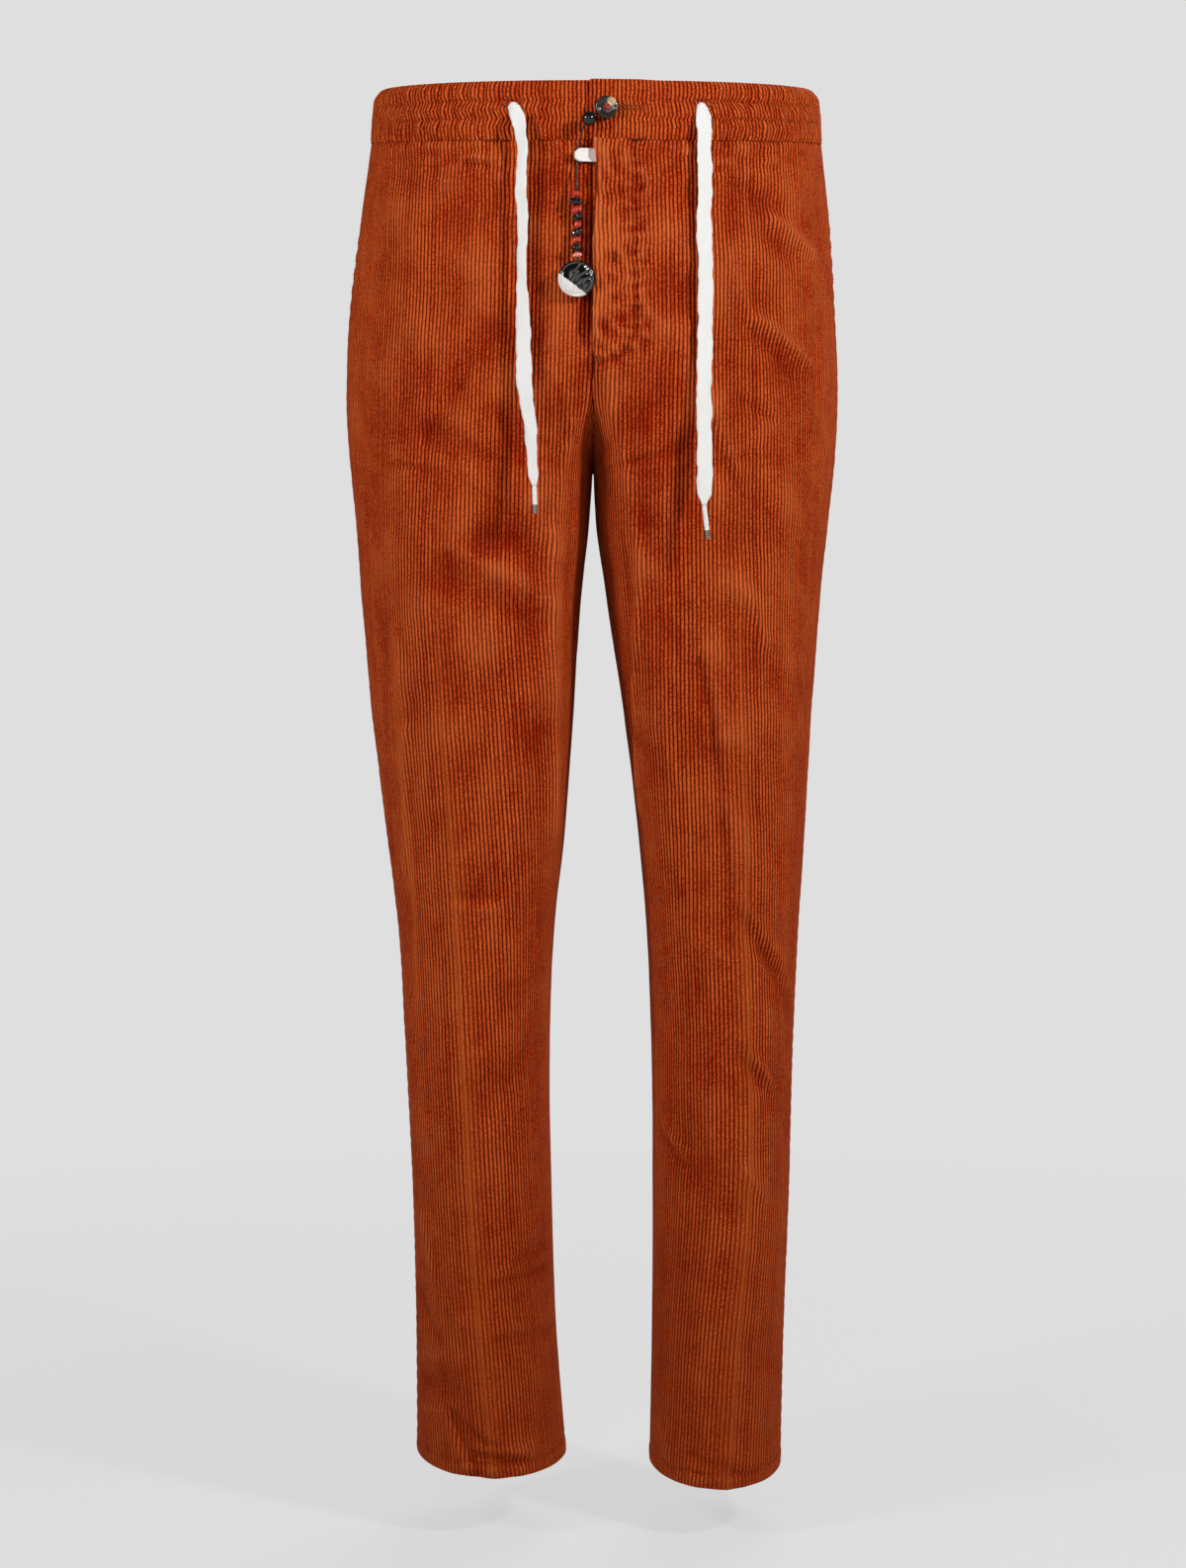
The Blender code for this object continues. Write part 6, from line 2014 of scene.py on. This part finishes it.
@dataclass
class Button:
    """A four-hole horn button with a sunk middle, ridges round its rim and crossed thread."""

    hole_out: float = 0.0019
    hole: float = 0.00082
    segments: int = 96

    def middle(self) -> Vector:
        """Where the button's back would meet the waistband."""
        return Vector((BUTTON_X, front_surface(BUTTON_X, BUTTON_Z) - FLY_LAP - LAY, BUTTON_Z))

    def build(self, finishes: Finishes) -> None:
        """Makes the button and its thread."""
        r, back, face = BUTTON_RADIUS, SHANK_LENGTH, SHANK_LENGTH + BUTTON_THICKNESS
        profile = [(0.0, back), (r * 0.80, back), (r * 0.95, back + 0.0005)]
        profile += [(r, back + 0.0012), (r, back + 0.0017)]
        # The rim's rounded top, then two fine turned grooves, then the sunk middle.
        for share, drop in (
            (0.985, 0.00045), (0.955, 0.00015), (0.915, 0.00002), (0.88, 0.0), (0.855, 0.00012),
            (0.842, 0.00040), (0.828, 0.00012), (0.80, 0.00004), (0.775, 0.00012), (0.762, 0.00040),
            (0.748, 0.00016), (0.72, 0.00012), (0.68, 0.00026), (0.64, 0.00070), (0.60, 0.00100),
            (0.54, 0.00112), (0.45, 0.00118), (0.20, 0.00120),
        ):
            profile.append((r * share, face - drop))
        profile.append((0.0, face - 0.00120))
        points, faces, _ = lathe(profile, self.segments)
        made = piece_from("button_horn", points, faces, [finishes.horn])
        turn_out(made.data)
        turn = Matrix.Translation(self.middle()) @ Matrix.Rotation(math.radians(90), 4, "X")
        cutters = bpy.data.meshes.new("button_holes")
        holes = bmesh.new()
        for k in range(4):
            angle = math.radians(45 + 90 * k)
            at = Matrix.Translation((self.hole_out * math.cos(angle), self.hole_out * math.sin(angle), face))
            bmesh.ops.create_cone(
                holes, cap_ends=True, segments=20, radius1=self.hole, radius2=self.hole, depth=0.01, matrix=at
            )
        holes.to_mesh(cutters)
        holes.free()
        cutter = new_object("button_holes", cutters)
        cut = made.modifiers.new("holes", "BOOLEAN")
        cut.operation = "DIFFERENCE"
        cut.object = cutter
        with bpy.context.temp_override(object=made, active_object=made):
            bpy.ops.object.modifier_apply(modifier=cut.name)
        bpy.data.objects.remove(cutter)
        made.data.transform(turn)
        made.data.shade_smooth()
        made.data.set_sharp_from_angle(angle=math.radians(35))
        co = np.empty(len(made.data.vertices) * 3)
        made.data.vertices.foreach_get("co", co)
        co = co.reshape(-1, 3) - np.array(self.middle())
        pale = np.exp(-(((co[:, 0] - 0.0034) / 0.0030) ** 2 + ((co[:, 2] - 0.0040) / 0.0034) ** 2))
        set_attribute(made.data, "pale", pale)
        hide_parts("button")
        self.thread(finishes)

    def thread(self, finishes: Finishes) -> None:
        """The crossed lengths of thread through the holes, and the shank behind."""
        run = StitchRun("button_thread")
        middle = np.array(self.middle())
        front = np.array([0.0, -1.0, 0.0])
        face = SHANK_LENGTH + BUTTON_THICKNESS - 0.0011
        for k in range(2):
            for side in (-1, 0, 1):
                angle = math.radians(45 + 90 * k)
                along = np.array([math.cos(angle), 0.0, math.sin(angle)])
                aside = np.array([-math.sin(angle), 0.0, math.cos(angle)])
                at = middle + front * (face + 0.0002 + 0.0003 * k) + aside * side * 0.00040
                run.stitch(at, along, front, 2.35 * self.hole_out, 0.00030)
        for angle in full_turn(8):
            out = np.array([math.cos(angle), 0, math.sin(angle)])
            at = middle + front * (SHANK_LENGTH / 2) + 0.0007 * out
            run.stitch(at, front, np.array([1.0, 0.1, 0.0]), SHANK_LENGTH * 1.3, 0.0004)
        made = run.build(finishes.button_thread)


@dataclass(frozen=True)
class Stop:
    """A place on the charm's cord: across, height, and how far its middle is off the cloth."""

    x: float
    z: float
    off: float

    def point(self) -> tuple[float, float, float]:
        """The stop as a point in space."""
        return self.x, front_surface(self.x, self.z) - self.off, self.z


CHARM_STOPS = [
    Stop(BUTTON_X + 0.0022, BUTTON_Z - 0.0004, CORD_OFF),
    Stop(BUTTON_X + 0.0019, BUTTON_Z + 0.0013, CORD_OFF),
    Stop(BUTTON_X + 0.0004, BUTTON_Z + 0.0024, CORD_OFF),
    Stop(BUTTON_X - 0.0018, BUTTON_Z + 0.0018, CORD_OFF),
    Stop(BUTTON_X - 0.0050, BUTTON_Z - 0.0012, CORD_OFF),
    Stop(BUTTON_X - 0.0074, BUTTON_Z - 0.0036, FLY_LAP + 0.0015),
    Stop(BEAD_X + 0.0036, BEAD_Z + 0.0036, FLY_LAP + 0.0046),
    Stop(BEAD_X, BEAD_Z, FLY_LAP + 0.0054),
    Stop(BEAD_X - 0.0034, BEAD_Z - 0.0042, FLY_LAP + 0.0052),
    Stop(-0.0078, -0.0172, 0.0056),
    Stop(-0.0096, -0.0238, 0.0026),
    Stop(-0.0104, -0.0280, 0.0021),
    Stop(-0.0108, -0.0360, 0.0021),
    Stop(-0.0110, -0.0415, 0.0026),
    Stop(-0.0112, -0.0500, 0.0046),
    Stop(-0.0112, -0.0580, 0.0054),
    Stop(-0.0108, -0.0690, 0.0055),
    Stop(-0.0098, -0.0770, 0.0055),
    Stop(-0.0108, -0.0850, 0.0055),
    Stop(-0.0108, -0.0950, 0.0062),
    Stop(-0.0110, -0.1070, 0.0082),
]
BEAD_STOP = 7


class Stuff(Enum):
    """What a chip is made of."""

    CORAL = "coral"
    ONYX = "onyx"


@dataclass(frozen=True)
class Chip:
    """A tumbled chip on the charm's cord: how far down, width across, height and stuff."""

    z: float
    width: float
    height: float
    stuff: Stuff
    pale: bool = False


CHIPS = [
    Chip(-0.0593, 0.0056, 0.0040, Stuff.CORAL),
    Chip(-0.0644, 0.0086, 0.0046, Stuff.ONYX),
    Chip(-0.0696, 0.0064, 0.0044, Stuff.CORAL),
    Chip(-0.0749, 0.0088, 0.0046, Stuff.ONYX),
    Chip(-0.0799, 0.0052, 0.0040, Stuff.CORAL),
    Chip(-0.0854, 0.0074, 0.0054, Stuff.ONYX),
    Chip(-0.0910, 0.0056, 0.0042, Stuff.CORAL),
    Chip(-0.0961, 0.0092, 0.0046, Stuff.ONYX),
    Chip(-0.1011, 0.0060, 0.0040, Stuff.CORAL, pale=True),
]


@dataclass
class Charm:
    """The charm that hangs from the button: cord, bead, chips and pendant."""

    cord_width: float = 0.0011
    points: int = 200
    pendant_x: float = -0.0110
    pendant_z: float = -0.1172
    pendant_width: float = 0.0257
    pendant_height: float = 0.0246
    pendant_depth: float = 0.0100

    def route(self) -> Array:
        """The cord's middle line."""
        return smooth_route([stop.point() for stop in CHARM_STOPS], self.points)

    def aligned(self, route: Array, z: float, reach: float) -> Matrix:
        """The place and tilt of what hangs on the cord at that height."""
        rising = route[np.argsort(route[:, 2])]
        rising = rising[rising[:, 2] < BEAD_Z - 0.004]
        top, middle, low = (Vector(row_at(z + s, rising[:, 2], rising)) for s in (reach, 0, -reach))
        return Matrix.Translation(middle) @ (top - low).to_track_quat("Z", "Y").to_matrix().to_4x4()

    def build(self, finishes: Finishes) -> None:
        route = self.route()
        cord = tube("charm_cord_waxed", route, self.cord_width / 2, finishes.cord)
        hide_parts("charm_cord")
        on_cord = [self.bead(finishes), *self.chips(route, finishes), self.knot(route, finishes)]
        on_cord.append(self.pendant(finishes))
        length = float(np.linalg.norm(np.diff(route, axis=0), axis=1).sum())
        LOG.info("%s: %.0f mm long", cord.name, length * 1000)

    def bead(self, finishes: Finishes) -> bpy.types.Object:
        """The round bead under the button."""
        bore = 0.0009
        edge = math.asin(bore / BEAD_RADIUS)
        turns = np.linspace(-math.pi / 2 + edge, math.pi / 2 - edge, 28)
        profile = [(BEAD_RADIUS * math.cos(t), BEAD_RADIUS * math.sin(t)) for t in turns]
        points, faces, _ = lathe(profile, 40)
        made = piece_from("bead_onyx", points, faces, [finishes.onyx])
        turn_out(made.data)
        before, after = (Vector(CHARM_STOPS[k].point()) for k in (BEAD_STOP - 1, BEAD_STOP + 1))
        tilt = (before - after).to_track_quat("Z", "Y").to_matrix().to_4x4()
        made.data.transform(Matrix.Translation(CHARM_STOPS[BEAD_STOP].point()) @ tilt)
        made.data.set_sharp_from_angle(angle=math.radians(50))
        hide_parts("bead")
        return made

    def chips(self, route: Array, finishes: Finishes) -> list[bpy.types.Object]:
        """The tumbled chips, each uneven in its own way."""
        made = []
        for index, chip in enumerate(CHIPS):
            half, bore = chip.height / 2, 0.0008
            profile = [(bore, -half * 0.55)]
            for t in np.linspace(-1.32, 1.32, 15):
                out = chip.width / 2 * math.cos(t) ** 0.75
                profile.append((max(out, bore * 1.15), half * math.sin(t) * 1.02))
            profile.append((bore, half * 0.55))
            points, faces, angles = lathe(profile, 32)
            radius = np.hypot(points[:, 0], points[:, 1])
            share = smooth(radius, bore, chip.width * 0.3)
            uneven = 1 + share * (
                0.17 * np.sin(2 * angles + 1.7 * index)
                + 0.13 * np.cos(3 * angles + index)
                + 0.07 * np.sin(5 * angles + 2.3 * index)
            )
            points[:, 0] *= uneven * 0.95
            points[:, 1] *= uneven * 0.82
            points[:, 2] += share * 0.11 * chip.height * np.sin(angles + 2.1 * index)
            points[:, 2] *= 1 + share * 0.10 * np.sin(3 * angles + index)
            stuff = chip.stuff.value
            finish = finishes.onyx if chip.stuff is Stuff.ONYX else finishes.coral
            finish = finishes.pale_coral if chip.pale else finish
            piece = piece_from(f"chip_{index + 1}_{stuff}_tumbled", points, faces, [finish])
            turn_out(piece.data)
            piece.data.transform(self.aligned(route, chip.z, half))
            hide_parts(f"chip_{index + 1}_{stuff}")
            made.append(piece)
        return made

    def knot(self, route: Array, finishes: Finishes) -> bpy.types.Object:
        """The overhand knot above the first chip: two turns of the cord round itself."""
        r = self.cord_width / 2
        turns = full_turn(60)
        points = np.column_stack(
            [
                (r * 1.65 + 0.25 * r * np.cos(3 * turns)) * np.cos(2 * turns),
                (r * 1.65 + 0.25 * r * np.cos(3 * turns)) * np.sin(2 * turns),
                r * 1.1 * np.sin(3 * turns),
            ]
        )
        place = self.aligned(route, -0.0556, 0.001)
        ring = np.array([place @ Vector(p) for p in points])
        made = ring_tube("charm_knot", ring, r * 0.92, finishes.cord)
        return made

    def pendant(self, finishes: Finishes) -> bpy.types.Object:
        """A plain rounded pebble with bowed grooves cut across its upper corner."""
        half, socket, deep = self.pendant_height / 2, 0.0009, 0.0030
        profile = [(0.0, -half)]
        for t in np.linspace(-math.pi / 2, math.pi / 2, 56)[1:-1]:
            profile.append((self.pendant_width / 2 * math.cos(t) ** 0.9, half * math.sin(t)))
        profile += [(0.0016, half * 0.995), (socket, half), (socket, half - deep), (0.0, half - deep)]
        points, faces, _ = lathe(profile, 120)
        radius = np.hypot(points[:, 0], points[:, 1])
        flatness = self.pendant_depth / self.pendant_width - 1
        points[:, 1] *= 1 + flatness * smooth(radius, socket, self.pendant_width / 4)
        x, z = points[:, 0], points[:, 2]
        front = points[:, 1] < 0
        # Bowed grooves that fan out from the lower right, broken as they wander, and one round line.
        groove = np.zeros(len(points))
        from_x, from_z = 0.0150, -0.0110
        reach = np.hypot(x - from_x, z - from_z)
        turn = np.arctan2(z - from_z, x - from_x)
        for bow in (0.0080, 0.0105, 0.0130, 0.0156, 0.0182, 0.0208, 0.0236):
            wavy = bow + 0.0006 * np.sin(9 * turn + 900 * bow)
            broken = smooth(np.sin(7 * turn + 1300 * bow), -0.75, -0.35)
            groove = np.maximum(groove, broken * bell(reach - wavy, 0.00055))
        oval = np.hypot(x / (self.pendant_width / 2), z / half)
        groove *= 1 - smooth(oval, 0.80, 0.88)
        groove = np.maximum(groove, bell(oval - 0.86, 0.025))
        groove = np.where(front, groove, 0.0)
        points[:, 1] += 0.00065 * groove * smooth(radius, socket, 0.003)
        glaze = smooth(-(x * 0.75 + z) / 0.006, 0.55, 1.35)
        made = piece_from("pendant_pebble", points, faces, [finishes.pendant])
        set_attribute(made.data, "groove", groove)
        set_attribute(made.data, "glaze", glaze)
        turn_out(made.data)
        y = CHARM_STOPS[-1].point()[1]
        made.data.transform(Matrix.Translation((self.pendant_x, y, self.pendant_z)))
        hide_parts("pendant")
        return made


@dataclass
class TapeLoop:
    """A folded loop of narrow tape, held under the fly's edge, that keeps the charm's cord in."""

    width: float = 0.0092
    thickness: float = 0.00045
    z: float = -0.0320
    fold_x: float = -0.0126
    under: float = 0.0060
    low: float = 0.00062
    high: float = 0.00345

    def path(self) -> Array:
        """Across, and how far off the cloth: along the back layer, round the fold, and back."""
        low, high = self.low, self.high
        path = [(self.under, low), (0.0010, low), (-0.0060, low + 0.0001), (-0.0104, low + 0.0001)]
        middle, radius = (low + 0.0001 + high) / 2, (high - low - 0.0001) / 2
        for turn in np.radians(np.linspace(-60, 60, 5)):
            path.append((self.fold_x + radius - radius * math.cos(turn), middle + radius * math.sin(turn)))
        path += [(-0.0104, high), (-0.0060, high - 0.0007), (-0.0015, 0.00170), (0.0012, 0.00128)]
        return np.array([*path, (self.under, 0.00124)])

    def build(self, finishes: Finishes) -> None:
        """Makes the loop of tape."""
        path = smooth_route(np.column_stack([self.path(), np.zeros(len(self.path()))]), 90)
        heights = np.linspace(-0.5, 0.5, 13) * self.width
        outline = 1 - 0.30 * np.abs(2 * heights / self.width) ** 3
        points, across = [], []
        passed = passed_along(path[:, :2])
        slope = unit(np.gradient(path[:, :2], axis=0))
        for sign in (1, -1):
            for height, keep in zip(heights[::sign], outline[::sign]):
                x = path[:, 0] * keep - slope[:, 1] * sign * self.thickness / 2
                off = path[:, 1] + slope[:, 0] * sign * self.thickness / 2
                known = [front_surface(v, self.z + height) for v in (-0.014, -1e-4, 0.008)]
                surface = np.interp(x, [-0.014, 0.0, 0.008], known)
                points.append(np.column_stack([x, surface - off - 0.0003, np.full(len(x), self.z + height)]))
                across.append(height + self.width)
        made = tape_piece("tape_loop_folded", points, passed, across, finishes.tape)
        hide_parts("tape_loop")


@dataclass
class Eyelet:
    """The worked slot that the drawstring comes out of: a ring of close stitches."""

    side: Side
    x: float
    width: float = 0.0135
    height: float = 0.0052

    def build(self, finishes: Finishes, band: Waistband) -> None:
        """Makes the ring."""
        run = StitchRun(f"eyelet_{self.side.word}_stitches")
        half = HALF[self.side]
        shell = band.front(self.side)
        for turn in full_turn(46):
            x = self.x + self.width / 2 * math.copysign(abs(math.cos(turn)) ** 0.8, math.cos(turn))
            z = EYELET_Z + self.height / 2 * math.copysign(abs(math.sin(turn)) ** 0.8, math.sin(turn))
            arc = half.arc(Face.FRONT, z)
            along = float(np.interp(abs(x), np.abs(arc.x), arc.along))
            places, normals = shell.dressed(along, z, 0.0002)
            out = np.array([math.cos(turn), 0.0, math.sin(turn)])
            run.stitch(places[0], out, normals[0], 0.0022, 0.00028)
        run.build(finishes.thread)


# ---------------------------------------------------------------- studio


@dataclass
class Studio:
    """A pale floor and backdrop, soft lamps and the camera."""

    camera_y: float = -2.35
    camera_z: float = -0.3257
    aim_z: float = -0.4701
    frame_height: float = 1.14192  # what the frame takes in at the trousers' middle
    floor_z: float = -1.012
    floor_reach: float = 9.0
    glow_share: float = 0.80
    backdrop: str = "#DFDFDF"

    def camera(self) -> None:
        """The camera, level with the thighs and tilted down a little."""
        data = bpy.data.cameras.new("camera")
        made = new_object("camera", data)
        made.location = (0.0, self.camera_y, self.camera_z)
        look = Vector((0.0, 0.0, self.aim_z)) - made.location
        made.rotation_euler = look.to_track_quat("-Z", "Y").to_euler()
        data.sensor_fit = "VERTICAL"
        data.sensor_height = 24.0
        data.lens = data.sensor_height * look.length / self.frame_height
        data.clip_start, data.clip_end = 0.05, 50.0
        bpy.context.scene.camera = made

    def paper(self) -> bpy.types.Material:
        """Seamless paper: matt, evenly pale to the eye, and it still takes the object's shadow.

        Further out the paper fades into the room's own pale colour, so it has no horizon.
        """
        g = Graph("seamless_background_paper")
        g.finish(g.mix(g.noise(220.0, 3.0), "#DEDEDE", "#E0E0E0"), roughness=1.0, specular_ior_level=0.0)
        glow = g.add("Emission", {"Color": linear(self.backdrop), "Strength": 1.0})
        seen = g.add("LightPath").outputs
        rays = g.math("MAXIMUM", seen["Is Camera Ray"], seen["Is Glossy Ray"])
        rays = g.math("MAXIMUM", rays, seen["Is Transmission Ray"])
        away = g.add("VectorMath", {0: g.place}, operation="LENGTH").outputs["Value"]
        share = g.math("MULTIPLY", rays, g.ramp(away, 0.4, 1.6, self.glow_share, 1.0))
        both = g.add("MixShader", {0: share, 1: g.shader.outputs[0], 2: glow.outputs[0]})
        g.tree.links.new(both.outputs[0], g.tree.nodes["Material Output"].inputs["Surface"])
        return g.made

    def stage(self) -> None:
        """A round floor, wide enough to reach past every view's edge."""
        turns = full_turn(64)
        points = [(self.floor_reach * math.cos(t), self.floor_reach * math.sin(t), 0.0) for t in turns]
        mesh = bpy.data.meshes.new("floor")
        mesh.from_pydata(points, [], [list(range(len(points)))])
        mesh.materials.append(self.paper())
        made = new_object("floor", mesh)
        made.location = (0.0, 0.0, self.floor_z)

    def lamp(self, name: str, place: Sequence[float], aim_z: float, size: float, power: float) -> None:
        """A square soft lamp, aimed at that height of the middle."""
        data = bpy.data.lights.new(name, "AREA")
        data.shape = "SQUARE"
        data.size = size
        data.energy = power
        made = new_object(name, data)
        made.location = place
        made.rotation_euler = (Vector((0.0, 0.0, aim_z)) - Vector(place)).to_track_quat("-Z", "Y").to_euler()

    def lights(self) -> None:
        """A key and a fill to the sides, one in front, one behind for the back, and a dim even room."""
        self.lamp("key_lamp", (1.18, -1.02, 0.55), -0.28, 0.18, 22.5)
        self.lamp("front_lamp", (-0.30, -1.90, 0.30), -0.25, 0.7, 3.5)
        self.lamp("left_lamp", (-1.30, -0.92, 0.40), -0.28, 0.35, 16.5)
        self.lamp("lamp_behind", (0.5, 1.4, 0.9), -0.35, 1.2, 24.0)
        world = bpy.data.worlds.new("room")
        bpy.context.scene.world = world
        world.use_nodes = True
        tree = world.node_tree
        ground = tree.nodes["Background"]
        ground.inputs["Color"].default_value = linear("#F4F5F8")
        ground.inputs["Strength"].default_value = 0.08
        seen = add_node(tree, "LightPath")
        pale = add_node(tree, "Background", {"Color": linear(self.backdrop), "Strength": 1.0})
        shaders = {0: seen.outputs["Is Camera Ray"], 1: ground.outputs[0], 2: pale.outputs[0]}
        both = add_node(tree, "MixShader", shaders)
        tree.links.new(both.outputs[0], tree.nodes["World Output"].inputs["Surface"])
        bpy.context.scene.view_settings.view_transform = "Standard"


# ---------------------------------------------------------------- the trousers


class Trousers:
    """The whole garment."""

    def __init__(self) -> None:
        """Makes its finishes and its parts, without meshes yet."""
        self.finishes = Finishes()
        self.band = Waistband()
        self.panels = {(side, face): LegPanel(side, face) for side in Side for face in Face}

    def cords(self) -> None:
        """The drawstring's free ends and the charm."""
        Drawstring(Side.RIGHT, 0.019, (0.03, -0.02, -1.0), seed=0.4).build(self.finishes)
        Drawstring(Side.LEFT, 0.023, (0.12, -0.02, -1.0), seed=2.3).build(self.finishes)
        Charm().build(self.finishes)

    def cloth(self) -> None:
        """Every panel, as a sheet of cloth with its cut."""
        shells = [panel.shell() for panel in self.panels.values()]
        shells += [PocketFacing(side).shell() for side in Side]
        shells += [FlyShield().shell(), *self.band.shells()]
        for shell in shells:
            made = shell.build(self.finishes)
            width, length, area = flat_area(shell)
            faces = len(made.data.polygons)
            LOG.info("%s: %d faces, cut %.0f x %.0f mm", made.name, faces, width * 1000, length * 1000)

    def trims(self) -> None:
        """Button, tape loop, eyelets and stitches."""
        Button().build(self.finishes)
        TapeLoop().build(self.finishes)
        Eyelet(Side.RIGHT, -0.0545).build(self.finishes, self.band)
        Eyelet(Side.LEFT, 0.0747).build(self.finishes, self.band)
        Stitching(self.panels, self.band).build(self.finishes)


def main() -> None:
    """Builds the studio and the trousers."""
    logging.basicConfig(level=logging.INFO, format="%(name)s: %(message)s")
    studio = Studio()
    studio.camera()
    trousers = Trousers()
    trousers.cords()
    trousers.cloth()
    trousers.trims()
    studio.stage()
    studio.lights()


if __name__ == "__main__":
    main()
